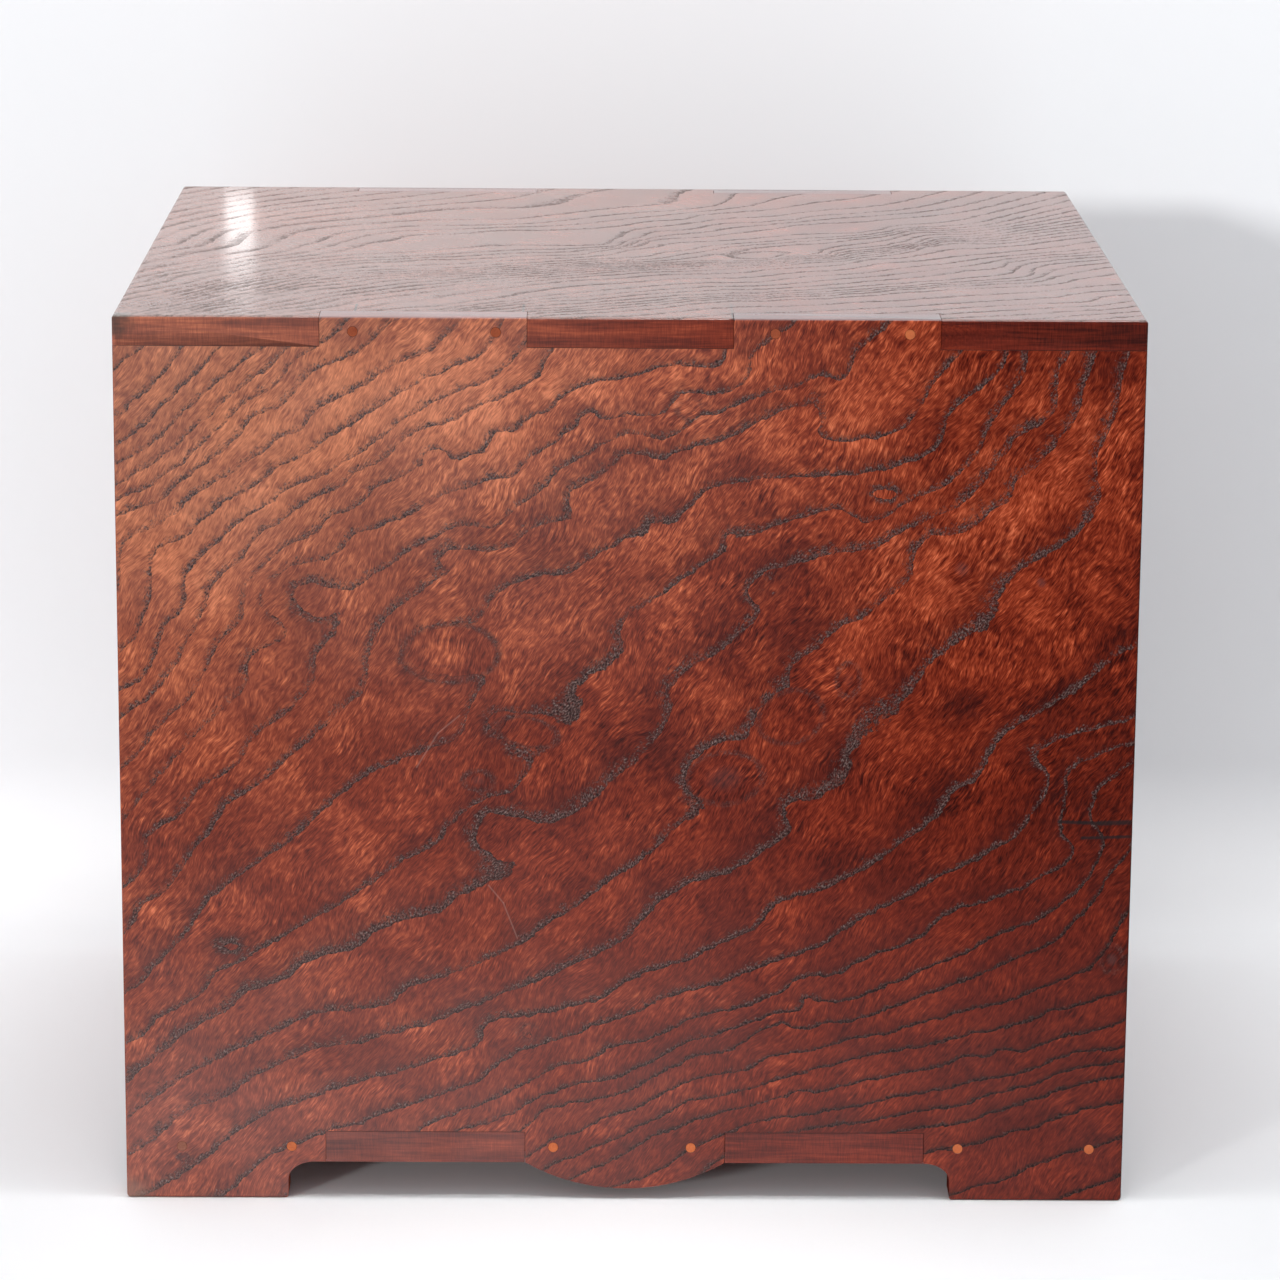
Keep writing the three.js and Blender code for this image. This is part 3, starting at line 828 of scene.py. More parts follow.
SIDE_STROKES = (
    Stroke((281, 120), (293, 119.6), 0.8),
    Stroke((293, 119.6), (303, 120), 1.1),
    Stroke((288, 115), (303, 115.5), 0.7),
    Stroke((88.6, 136), (95, 146.6), 0.32, True),
    Stroke((95, 146.6), (101.4, 152), 0.32, True),
    Stroke((110, 99.5), (114.5, 94), 0.30, True),
    Stroke((114.5, 94), (118.7, 83), 0.30, True),
)

TOP_STROKES = (
    Stroke((70.6, 8), (70.6, 22), 0.5),
    Stroke((120, 8), (120, 23), 0.5),
    Stroke((181.5, 0), (181.5, 26), 0.5),
    Stroke((192, 9), (192, 12), 0.5),
)


@dataclass(frozen=True)
class Chart:
    """How the points of a board fall on the sheet that its log was read on.

    The axes are those of the shared frame. Starts are millimetres of the sheet, scales are sheet millimetres
    per millimetre of the board.
    """

    long_axis: int
    high_axis: int
    long_start: float = 0.0
    high_start: float = 0.0
    long_scale: float = 1.0
    high_scale: float = 1.0

    def places(self, points: np.ndarray) -> np.ndarray:
        """Places on the sheet.

        Args:
            points: Points of the board, in millimetres of the shared frame.

        Returns:
            Pairs of millimetres, along and up.
        """
        return np.c_[
            self.long_start + self.long_scale * points[:, self.long_axis],
            self.high_start + self.high_scale * points[:, self.high_axis],
        ]

    def nodes(self, net: Net, place: Signal) -> Signal:
        """The same places as a vector in a material."""
        return net.vector(
            place.part(self.long_axis) * self.long_scale + self.long_start,
            place.part(self.high_axis) * self.high_scale + self.high_start,
            0.0,
        )


@dataclass
class Log:
    """How far a log had grown over one sheet, smooth between the ring lines read off the real board.

    The growth is a thin plate through the lines, kept on a regular sheet and read between its points.
    """

    lines: tuple[RingLine, ...]
    eyes: tuple[Eye, ...] = ()
    patches: tuple[Patch, ...] = ()
    smoothing: float = 0.0004
    step: float = 1.5
    margin: float = 14.0
    reach: tuple[float, float] = (CASE_DEPTH, CASE_HEIGHT)
    slope_unit: float = 100.0
    width_reach: float = 2.0
    closest: float = 2.5
    widest: float = 30.0
    flattest: float = 1e-3
    sheets: dict[str, np.ndarray] = field(init=False)

    def __post_init__(self) -> None:
        """Fits the thin plate and fills the sheets."""
        rows = [
            (along, up, line.ring, line.width)
            for line in self.lines
            for along, up in line.points()
        ]
        table = np.array(rows, float)
        knots, levels, widths = table[:, :2], table[:, 2], table[:, 3]
        count = len(levels)
        matrix = np.zeros((count + 3, count + 3))
        matrix[:count, :count] = self._kernel(knots, knots) + np.eye(count) * self.smoothing * count
        matrix[:count, count:] = np.c_[np.ones(count), knots / self.slope_unit]
        matrix[count:, :count] = matrix[:count, count:].T
        weights = np.linalg.solve(matrix, np.r_[levels, np.zeros(3)])
        longs, ups = (np.arange(-self.margin, end + self.margin, self.step) for end in self.reach)
        grid = np.stack(np.meshgrid(longs, ups, indexing="ij"), -1)
        growth, width = np.empty(grid.shape[:2]), np.empty(grid.shape[:2])
        for row, places in enumerate(grid):
            plate = self._kernel(places, knots) @ weights[:count]
            growth[row] = plate + weights[count] + places @ weights[count + 1 :] / self.slope_unit
            share = (((places[:, None, :] - knots) ** 2).sum(-1) + self.width_reach**2) ** -2.0
            width[row] = (share * widths).sum(1) / share.sum(1)
        shade = np.zeros(growth.shape)
        for eye in self.eyes:
            growth += eye.lift * np.exp(-self._spread(grid, eye) ** 1.5)
        for patch in self.patches:
            shade += patch.shade * np.exp(-self._spread(grid, patch))
        slopes = np.gradient(growth, self.step)
        self.sheets = {
            "growth": growth,
            "line_width": width,
            "shade": shade,
            "slope_long": slopes[0],
            "slope_high": slopes[1],
        }

    @staticmethod
    def _kernel(places: np.ndarray, knots: np.ndarray) -> np.ndarray:
        """The thin-plate kernel between places and the ring lines' points."""
        square = ((places[:, None, :] - knots[None, :, :]) ** 2).sum(-1) + 1e-9
        return 0.5 * square * np.log(square)

    @staticmethod
    def _spread(places: np.ndarray, spot: Union[Eye, Patch]) -> np.ndarray:
        """Squared distance of places from a spot, 1 on its rim."""
        turn = math.radians(spot.tilt)
        along, up = places[..., 0] - spot.along, places[..., 1] - spot.up
        longwise = along * math.cos(turn) + up * math.sin(turn)
        crosswise = -along * math.sin(turn) + up * math.cos(turn)
        return (longwise / spot.half_long) ** 2 + (crosswise / spot.half_high) ** 2

    def _read(self, name: str, places: np.ndarray) -> np.ndarray:
        """The value of one sheet between its points."""
        sheet = self.sheets[name]
        spot = np.clip((places + self.margin) / self.step, 0.0, np.array(sheet.shape) - 1.001)
        low = spot.astype(int)
        (i, j), (a, b) = low.T, (spot - low).T
        near = sheet[i, j] * (1 - a) + sheet[i + 1, j] * a
        far = sheet[i, j + 1] * (1 - a) + sheet[i + 1, j + 1] * a
        return near * (1 - b) + far * b

    def marks(self, points: np.ndarray, chart: Chart) -> dict[str, np.ndarray]:
        """What a material has to know of the log at points of a board.

        Args:
            points: Points in millimetres of the shared frame.
            chart: How they fall on the sheet.

        Returns:
            The growth in rings, the millimetres between rings, the width of the dark lines and the shade.
        """
        places = chart.places(points)
        marks = {name: self._read(name, places) for name in ("growth", "line_width", "shade")}
        slope = np.hypot(
            self._read("slope_long", places) * chart.long_scale,
            self._read("slope_high", places) * chart.high_scale,
        )
        marks["pitch"] = np.clip(1.0 / np.maximum(slope, self.flattest), self.closest, self.widest)
        return marks


# Finishes


@dataclass(frozen=True)
class Lacquer:
    """Streaked zelkova under clear lacquer, as seen on the boards' edges.

    The shares of pale film are painted reflection of the lacquer's gloss: at the front top, along the foot,
    all over and on faces looking up.
    """

    name: str
    # Shares of a pale film painted into the colour as the lacquer's reflection.
    reflection_top: float = 0.092
    reflection_foot: float = 0.090
    reflection_all: float = 0.0
    reflection_up: float = 0.16
    coat_index: float = 1.10
    coat_rough: float = 0.10
    dulling: float = 0.4
    coat_share: float = 1.0
    edge_tone: float = 0.64
    # The edges darken towards the back: painted shade over the wood's own tone.
    edge_tone_and_light_along: float = -0.46
    edge_reflection: float = 0.0
    edge_run: int = 2
    reflection_colour: Colour = (0.55, 0.50, 0.50)

    def painted_reflection(self, net: Net, place: Signal) -> Signal:
        """The share of pale film over the surface, painted reflection of the lacquer."""
        along = (place.part(1) - FRONT_EDGE) / CASE_DEPTH
        height = place.part(2) / CASE_HEIGHT
        top = along.fall(0.25, 0.85) * (0.3 + height.rise(0.50, 0.90) * 0.7)
        foot = height.fall(0.02, 0.5) * (1.0 - along * 0.75)
        up = net.upward()
        share = top * self.reflection_top + foot * self.reflection_foot + up * self.reflection_up + self.reflection_all
        return share * (1.0 + net.noise(place, 30.0) * 0.8)

    def edge_grain(self, net: Net, place: Signal) -> Signal:
        """Dark streaks along the depth of the case, crossed by fine rays."""
        x, y, z = (place.part(axis) for axis in range(3))
        front = abs(net.facing().part(1)).rise(0.5, 0.9)
        run = [axis / (16.0 if self.edge_run == index else 0.8) for index, axis in enumerate((x, y, z))]
        streak = net.noise(net.vector(x / 0.8, y / 13.0, z / 0.8), 1.0, 3.0, 0.6) * (1.0 - front)
        streak = streak + net.noise(net.vector(*run), 1.0, 3.0, 0.6) * front
        broad = net.noise(net.vector(x / 4.0, y / 45.0, z / 3.0), 1.0, 1.0)
        ray = net.noise(net.vector(x / 2.0, y / 0.32, z / 4.0), 1.0, 2.0, 0.6) * (1.0 - front)
        along = (y - FRONT_EDGE) / CASE_DEPTH
        # Darker towards the back: painted shade over the wood's streaks.
        tone = self.edge_tone + along * self.edge_tone_and_light_along + streak * 0.85 + broad * 0.70 + ray * 0.55
        wood = self.wood(net, tone, along.fall(0.1, 0.8) * 0.5)
        # The edges get a share of the pale film of painted reflection towards the front.
        return net.blend(wood, self.reflection_colour, along.fall(0.0, 0.75) * self.edge_reflection)

    def wood(self, net: Net, tone: Signal, warm: Signal) -> Signal:
        """The wood from its darkest to its lightest, red or golden.

        Args:
            net: The material's nodes.
            tone: 0 for the darkest, 1 for the lightest.
            warm: 0 for deep red, 1 for golden.

        Returns:
            The colour.
        """
        share = (tone / 1.3).clamp()
        red = net.ramp(
            share,
            (
                (0.0, (0.028, 0.0040, 0.0030)),
                (0.15, (0.072, 0.0080, 0.0045)),
                (0.31, (0.132, 0.0150, 0.0070)),
                (0.46, (0.208, 0.0265, 0.0105)),
                (0.62, (0.335, 0.0530, 0.0200)),
                (0.77, (0.520, 0.1000, 0.0400)),
                (1.0, (0.780, 0.1900, 0.0850)),
            ),
        )
        golden = net.ramp(
            share,
            (
                (0.0, (0.032, 0.0070, 0.0055)),
                (0.15, (0.080, 0.0145, 0.0090)),
                (0.31, (0.140, 0.0270, 0.0150)),
                (0.46, (0.215, 0.0490, 0.0230)),
                (0.62, (0.340, 0.0930, 0.0420)),
                (0.77, (0.530, 0.1650, 0.0700)),
                (1.0, (0.800, 0.2750, 0.1250)),
            ),
        )
        return net.blend(red, golden, warm)

    def wear(self, net: Net, place: Signal, colour: Signal) -> Signal:
        """Grime on the top's front corner and pale wear round the foot's corner."""
        knock = net.noise(place, 3.0) * 6.0
        grimy = ((place - (HALF_WIDTH, FRONT_EDGE, CASE_HEIGHT)).length() + knock).fall(2.0, 9.0)
        rubbed = ((place - (HALF_WIDTH, FRONT_EDGE, 0.0)).length() + knock).fall(1.0, 10.0)
        colour = net.blend(colour, (0.055, 0.042, 0.038), grimy * 0.85)
        return net.blend(colour, (0.300, 0.160, 0.110), rubbed * 0.5)

    def varnish(
        self, net: Net, place: Signal, colour: Signal, height: Signal, dull: Operand
    ) -> bpy.types.Material:
        """Lays film and gloss over the wood.

        Args:
            net: The material's nodes.
            place: The point being shaded.
            colour: Colour of the wood.
            height: Height of its surface, 0 to 1.
            dull: Share of the gloss that is lost.

        Returns:
            The finished material.
        """
        # The pale film blended into the base colour below is painted reflection of the lacquer.
        worn = self.wear(net, place, colour)
        return net.surface(
            Base_Color=net.blend(
                worn, self.reflection_colour, (self.painted_reflection(net, place) * (1.0 - dull * 0.6)).clamp()
            ),
            Roughness=0.5,
            Coat_Weight=(1.0 - dull * self.dulling)
            * (self.coat_share + net.upward() * (1.0 - self.coat_share)),
            Coat_Roughness=self.coat_rough,
            Coat_IOR=self.coat_index,
            Specular_IOR_Level=0.0,
            Normal=net.bump(height, 0.08),
        )

    def material(self) -> bpy.types.Material:
        """Writes the nodes of the finish."""
        net = Net(self.name)
        place = net.place()
        rough = net.noise(place, 0.8, 2.0)
        return self.varnish(net, place, self.edge_grain(net, place), 0.5 + rough, 0.0)


@dataclass(frozen=True)
class FiguredLacquer(Lacquer):
    """The broad face of a board, with the growth lines and flecks of its log."""

    chart: Chart = Chart(long_axis=1, high_axis=2, long_start=-FRONT_EDGE)
    face: int = 0
    side: int = 1
    lean: float = 32.0
    tone: float = 0.47
    # These trends are painted light: lighter towards the front, the top and the foot, darker towards the
    # back.
    tone_and_light_along: float = -0.29
    tone_and_light_high: float = 0.28
    tone_and_light_foot: float = 0.06
    warmth: float = 1.0
    rings_per_line: float = 1.0
    line_scale: float = 1.0
    veil_reach: float = 2.0
    veil_share: float = 0.85
    ink_share: float = 1.0
    flame: float = 0.22
    texture: float = 1.0
    ink_dull: float = 0.6
    strokes: tuple[Stroke, ...] = ()
    knots: tuple[Knot, ...] = ()

    def _pores_and_glints(self, net: Net, grain: Signal) -> Signal:
        """The speckled colour of the pores in a growth line: dark pores with painted reflection and painted
        glints in their grey and pale speckles.
        """
        return net.ramp(
            (0.48 + grain * 2.4).clamp(),
            (
                (0.0, (0.010, 0.005, 0.005)),
                (0.35, (0.042, 0.021, 0.019)),
                (0.6, (0.100, 0.058, 0.052)),
                (0.85, (0.165, 0.112, 0.102)),
                (1.0, (0.220, 0.165, 0.150)),
            ),
        )

    def material(self) -> bpy.types.Material:
        """Writes the nodes of the finish."""
        net = Net(self.name)
        place = net.place()
        growth = net.mark("growth") * self.rings_per_line
        pitch = net.mark("pitch") / self.rings_per_line
        width, shade = net.mark("line_width") * self.line_scale, net.mark("shade")
        long, high = place.part(self.chart.long_axis), place.part(self.chart.high_axis)
        flat = net.vector(long, high, self.side * 40.0)
        along = (place.part(1) - FRONT_EDGE) / CASE_DEPTH
        down = 1.0 - place.part(2) / CASE_HEIGHT

        wiggle = net.noise(flat, 5.0, 2.0) * 2.4 + net.noise(flat, 1.6, 2.0) * 1.1
        turned = (growth + wiggle / pitch).fraction()
        above = (1.0 - turned) * pitch
        below = turned * pitch
        lean = math.radians(self.lean)
        across = long * math.cos(lean) - high * math.sin(lean)
        onward = long * math.sin(lean) + high * math.cos(lean)
        bent = across + net.noise(flat, 38.0, 1.0) * 15.0 + net.noise(flat, 8.0, 2.0) * 2.4
        fine = net.noise(net.vector(bent / 0.33, onward / 2.4, 0.0), 1.0, 1.0, 0.6)
        streak = net.noise(net.vector(bent / 0.80, onward / 6.0, 7.0), 1.0, 2.0, 0.6)
        fleck = net.noise(net.vector(bent / 1.9, onward / 3.0, 21.0), 1.0, 1.0, 0.5)
        speck = net.noise(net.vector(bent / 0.42, onward / 0.8, 3.0), 1.0, 1.0, 0.6)
        grit = net.noise(net.vector(bent / 0.55, onward / 0.95, 11.0), 1.0, 1.0, 0.6)

        coarse = net.noise(flat, 3.0, 2.0, 0.6)
        far = along * down.rise(0.35, 0.8)
        near = along.fall(0.15, 0.6) * down.fall(0.3, 0.7)
        patchy = net.noise(flat, 22.0, 1.0) * 1.3 + coarse * 1.3
        strength = (0.76 + patchy + far * 0.5 - near * 0.14).clamp()
        reach = width * (1.0 + coarse * 1.6 + near * 0.5)
        crisp = below.rise(0.0, 0.5) * above.rise(-0.05, 0.18)
        depth = reach * (self.veil_reach + far * 0.5)
        veil = (above / depth * -1.0).exponent() * crisp * strength * (1.0 - near * 0.35)
        core = above.fall(reach * 0.1, reach * 1.5) * crisp * strength
        ink = (core * 1.5 + grit * 3.0 - 0.42).clamp() * core.rise(0.0, 0.22) * self.ink_share
        seam = above.fall(0.15, far + 0.75) * crisp * strength * (0.55 + grit * 2.4) * (0.5 + far * 1.2)

        glow = net.noise(flat, 14.0, 1.0).rise(-0.08, 0.20)
        cloud = net.noise(flat, 15.0, 2.0, 0.5)
        calm = along.fall(0.15, 0.45) * down.fall(0.25, 0.6)
        flame = along.rise(0.15, 0.6) * down.fall(0.35, 0.65) * self.flame
        lively = (1.22 + flame - calm * 0.20 - far * 0.35) * self.texture
        # The tone mixes the wood's own figure with painted light: lighter towards the front, the top and the
        # foot, darker towards the back.
        tone = (
            self.tone
            + (0.5 - along) * -self.tone_and_light_along
            + down.fall(0.12, 0.55) * self.tone_and_light_high
            + down.rise(0.68, 0.95) * self.tone_and_light_foot
            + shade
            + (cloud * 0.52 + streak * (0.56 + glow * 0.78)) * lively.maximum(self.texture * 0.9)
            + (fine * 0.72 + fleck * 0.50) * lively
            + (glow - 0.5) * 0.05
        )
        # Golden towards the front top: partly the wood's own colour, partly painted sheen of its fibres.
        warm = (along.fall(0.05, 0.95) * (0.30 + down.fall(0.10, 0.60) * 0.70) * self.warmth).clamp()
        ring, faded = None, None
        spot = self.chart.nodes(net, place) if self.strokes or self.knots else None
        if self.knots:
            shaken = spot + net.vector(coarse * 1.2, wiggle * 0.35, 0.0)
            for knot in self.knots:
                away = net.knot(shaken, knot)
                inside = away.fall(0.85, 1.05)
                tone = tone + inside * (knot.heart - away * 0.06)
                if knot.rim:
                    half = (knot.half_long + knot.half_high) / 2
                    outline = (abs(away - 1.0) * half).fall(0.2, 1.5) * knot.rim * (0.7 + coarse * 2.4)
                    ink = ink * (1.0 - inside * 0.85)
                    veil = veil * (1.0 - inside * 0.7)
                    ring = outline if ring is None else ring.maximum(outline)
                if knot.grey:
                    middle = away.fall(0.15, 0.65) * knot.grey
                    faded = middle if faded is None else faded.maximum(middle)
        if ring is not None:
            ink = ink.maximum(ring * (0.55 + grit * 2.8)).clamp()
            veil = veil.maximum(ring)
        wood = net.blend(
            self.wood(net, tone, warm), (0.046, 0.0080, 0.0070), (veil * self.veil_share).clamp()
        )
        if faded is not None:
            wood = net.blend(wood, (0.105, 0.060, 0.058), faded)
        # Growth lines: dark pores, with painted reflection and glints in their grey and pale speckles.
        colour = net.blend(wood, self._pores_and_glints(net, speck), ink)
        colour = net.blend(colour, (0.014, 0.007, 0.006), seam.clamp() * self.ink_share)
        for line in self.strokes:
            tint = (0.42, 0.28, 0.24) if line.pale else (0.020, 0.014, 0.014)
            colour = net.blend(colour, tint, net.stroke(spot, line) * (0.22 if line.pale else 0.85))
        figured = (net.facing().part(self.face) * self.side).rise(0.45, 0.85)
        colour = net.blend(self.edge_grain(net, place), colour, figured)
        height = 0.5 + fine * 0.05 - ink * 0.18 + net.noise(flat, 12.0, 1.0) * 0.4
        edge = (1.0 - figured) * (1.0 - net.upward())
        return self.varnish(net, place, colour, height, ink * figured * self.ink_dull + edge * 1.25)


@dataclass(frozen=True)
class PlainWood:
    """Straight-grained wood whose lines run along one axis."""

    name: str
    light: Colour
    dark: Colour
    line: Colour
    along: int
    ring: float
    gloss: float
    strength: float = 0.5

    def material(self) -> bpy.types.Material:
        """Writes the nodes of the finish."""
        net = Net(self.name)
        place = net.place()
        parts = [place.part(axis) for axis in range(3)]
        scale = [1.0, 1.0, 1.0]
        scale[self.along] = 0.08
        drawn = net.vector(*(part * size for part, size in zip(parts, scale)))
        bow = net.noise(drawn, 30.0, 2.0) * 5.0
        first, second = [axis for axis in range(3) if axis != self.along]
        rings = (parts[first] * 0.45 + parts[second] * 0.9) / self.ring + bow
        turned = (rings + net.noise(place, 2.0, 2.0) * 0.25).fraction()
        band = turned.fall(0.0, 0.30) * self.strength
        fibre = net.noise(drawn, 0.7, 3.0, 0.6)
        cloud = net.noise(drawn, 12.0, 2.0)
        colour = net.blend(self.dark, self.light, (0.5 + fibre * 1.1 + cloud * 1.2).clamp())
        colour = net.blend(colour, self.line, (band + fibre * 0.3).clamp())
        return net.surface(
            Base_Color=colour,
            Roughness=0.55 + fibre * 0.2,
            Coat_Weight=self.gloss,
            Coat_Roughness=0.15,
            Coat_IOR=1.42,
            Specular_IOR_Level=0.3,
            Normal=net.bump(0.5 + fibre * 0.5 - band * 0.3, 0.06),
        )


@dataclass(frozen=True)
class PegEnd:
    """A round peg cut flush with the board."""

    name: str
    light: Colour
    dark: Colour

    def material(self) -> bpy.types.Material:
        """Writes the nodes of the finish."""
        net = Net(self.name)
        place = net.place()
        speck = net.noise(place, 0.5, 2.0, 0.6)
        cloud = net.noise(place, 3.0, 1.0)
        return net.surface(
            Base_Color=net.blend(self.dark, self.light, (0.55 + speck * 1.3 + cloud).clamp()),
            Roughness=0.5,
            Coat_Weight=1.0,
            Coat_Roughness=0.1,
            Coat_IOR=1.25,
            Specular_IOR_Level=0.0,
            Normal=net.bump(0.5 + speck, 0.05),
        )


@dataclass(frozen=True)
class AgedBrass:
    """Dark brass, rubbed brighter on its high places."""

    name: str = "aged_brass"
    bright: Colour = (0.46, 0.33, 0.15)
    dull: Colour = (0.14, 0.095, 0.050)

    def material(self) -> bpy.types.Material:
        """Writes the nodes of the finish."""
        net = Net(self.name)
        place = net.place()
        stain = net.noise(place, 3.5, 3.0, 0.6)
        speck = net.noise(place, 0.6, 2.0, 0.6)
        rubbed = (0.5 + stain * 2.0 + speck * 0.8).clamp()
        return net.surface(
            Base_Color=net.blend(self.dull, self.bright, rubbed),
            Metallic=0.9,
            Roughness=0.5 - rubbed * 0.18,
            Normal=net.bump(0.5 + speck + stain * 0.5, 0.04),
        )


# Pieces


@dataclass(frozen=True)
class FiguredBoard:
    """A board with the figure of its log drawn over one broad face."""

    node: str
    body: Body
    log: Log
    finish: FiguredLacquer
    spacing: float = 2.5

    def build(self, face: bpy.types.Material, inner: bpy.types.Material) -> None:
        """Makes the piece that stands for the node and rides on its body.

        Args:
            face: The figured material.
            inner: The material of the face that looks into the case.
        """
        mesh = bpy.data.meshes.new(f"{self.node}_figured")
        work = bmesh.new()
        work.from_mesh(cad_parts[self.node].data)
        bmesh.ops.remove_doubles(work, verts=work.verts, dist=MERGE_REACH)
        self._divide(work)
        for part in work.faces:
            part.smooth = max(map(abs, part.normal)) < 0.999
            part.material_index = int(self._outward(part) < -0.5)
        work.to_mesh(mesh)
        work.free()
        mesh.set_sharp_from_angle(angle=math.radians(20))
        mesh.materials.append(face)
        mesh.materials.append(inner)
        self._draw_figure(mesh)
        piece = bpy.data.objects.new(f"{self.node}_figured", mesh)
        bpy.context.scene.collection.objects.link(piece)
        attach(piece, self.body.value)
        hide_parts(self.node)
        LOG.info("%s: %d faces", piece.name, len(mesh.polygons))

    def _outward(self, part: bmesh.types.BMFace) -> float:
        """How far a face looks the way of the board's figured face, from -1 to 1."""
        return part.normal[self.finish.face] * self.finish.side

    def _divide(self, work: bmesh.types.BMesh) -> None:
        """Cuts the figured face into small ones so that the figure can follow them."""
        low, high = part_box(self.node)
        for axis in (self.finish.chart.long_axis, self.finish.chart.high_axis):
            count = max(2, round((high[axis] - low[axis]) / (self.spacing * MM)))
            cuts = [low[axis] + (high[axis] - low[axis]) * step / count for step in range(1, count)]
            outer = [part for part in work.faces if self._outward(part) > 0.05]
            self._halve(work, outer, axis, cuts)

    def _halve(
        self, work: bmesh.types.BMesh, faces: list[bmesh.types.BMFace], axis: int, cuts: list[float]
    ) -> None:
        """Makes the middle cut, then the cuts on each side of it.

        Args:
            work: The mesh.
            faces: The faces that the cuts may cross.
            axis: The direction across the cuts.
            cuts: Places of the cuts, lowest first.
        """
        if not cuts or not faces:
            return
        where = cuts[len(cuts) // 2]
        place, normal = Vector((0, 0, 0)), Vector((0, 0, 0))
        place[axis], normal[axis] = where, 1.0
        parts: set = set(faces)
        for face in faces:
            parts.update(face.edges)
            parts.update(face.verts)
        made = bmesh.ops.bisect_plane(
            work, geom=list(parts), dist=MERGE_REACH, plane_co=place, plane_no=normal
        )["geom"]
        lower, upper = [], []
        for face in made:
            if isinstance(face, bmesh.types.BMFace):
                spots = [vert.co[axis] for vert in face.verts]
                (upper if sum(spots) > where * len(spots) else lower).append(face)
        self._halve(work, lower, axis, cuts[: len(cuts) // 2])
        self._halve(work, upper, axis, cuts[len(cuts) // 2 + 1 :])

    def _draw_figure(self, mesh: bpy.types.Mesh) -> None:
        """Writes the log's growth on the points of the mesh."""
        flat = np.empty(len(mesh.vertices) * 3)
        mesh.vertices.foreach_get("co", flat)
        for name, values in self.log.marks(flat.reshape(-1, 3) / MM, self.finish.chart).items():
            mark = mesh.attributes.new(name, "FLOAT", "POINT")
            mark.data.foreach_set("value", values.astype(np.float32))


@dataclass
class Case:
    """The jointed case: outer boards, shelves and pegs."""

    side_log: Log
    top_log: Log
    inner: bpy.types.Material

    def dress(self) -> None:
        """Builds the figured boards and finishes the rest of the case."""
        # The pale film shares of these finishes are painted reflection, strongest on the top and on faces
        # looking up.
        side = FiguredLacquer(
            "side_lacquer",
            reflection_up=0.26,
            coat_index=1.5,
            coat_rough=0.16,
            coat_share=0.06,
            strokes=SIDE_STROKES,
            knots=SIDE_KNOTS,
        )
        far_side = replace(side, name="far_side_lacquer", side=-1, strokes=())
        top = FiguredLacquer(
            "top_lacquer",
            reflection_top=0.06,
            reflection_foot=0.0,
            reflection_all=0.02,
            reflection_up=0.18,
            reflection_colour=(0.53, 0.50, 0.455),
            coat_index=1.5,
            coat_rough=0.20,
            dulling=0.7,
            ink_share=0.9,
            ink_dull=1.1,
            texture=0.5,
            edge_reflection=0.08,
            edge_tone=0.76,
            edge_tone_and_light_along=-0.54,
            edge_run=0,
            chart=Chart(
                long_axis=1, high_axis=0, long_start=-FRONT_EDGE, high_start=HALF_WIDTH, high_scale=-1.0
            ),
            face=2,
            lean=60.0,
            tone=0.62,
            tone_and_light_along=-0.10,
            tone_and_light_high=0.0,
            tone_and_light_foot=0.0,
            warmth=0.6,
            rings_per_line=2.0,
            line_scale=2.0,
            strokes=TOP_STROKES,
        )
        back = FiguredLacquer(
            "back_lacquer",
            reflection_all=0.03,
            chart=Chart(
                long_axis=0,
                high_axis=2,
                long_start=140.0,
                high_start=4.0,
                long_scale=-0.9,
                high_scale=0.95,
            ),
            face=1,
            lean=60.0,
            tone=0.42,
            tone_and_light_along=0.0,
            tone_and_light_high=0.05,
            warmth=0.5,
        )
        boards = (
            FiguredBoard("right_side_board", Body.CASE, self.side_log, side, spacing=2.0),
            FiguredBoard("left_side_board", Body.CASE, self.side_log, far_side, spacing=3.0),
            FiguredBoard("top_board", Body.CASE, self.top_log, top, spacing=2.2),
            FiguredBoard("back_board", Body.CASE, self.top_log, back, spacing=3.5),
        )
        for board in boards:
            board.build(board.finish.material(), self.inner)
        foot = Lacquer("edge_lacquer", reflection_all=0.012, edge_tone=0.49, edge_tone_and_light_along=-0.16, edge_run=0)
        give(["bottom_board"], foot.material())
        give(["upper_shelf", "lower_shelf", "drawer_divider"], self.inner)
        self._pegs()

    def _pegs(self) -> None:
        """Finishes the pegs: most are fresh and orange, a few have darkened like the boards."""
        fresh = PegEnd("fresh_peg", light=(0.58, 0.155, 0.055), dark=(0.40, 0.095, 0.034))
        ruddy = PegEnd("ruddy_peg", light=(0.36, 0.085, 0.034), dark=(0.22, 0.044, 0.020))
        brown = PegEnd("brown_peg", light=(0.30, 0.120, 0.080), dark=(0.20, 0.070, 0.045))
        kinds = {"top_peg_1": ruddy, "top_peg_2": ruddy, "top_peg_3": ruddy, "bottom_peg_1": brown}
        made = {kind: kind.material() for kind in (fresh, ruddy, brown)}
        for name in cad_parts:
            if "_peg_" in name:
                kind = kinds.get(name.split("_", 1)[1], fresh)
                give([name], made[kind])


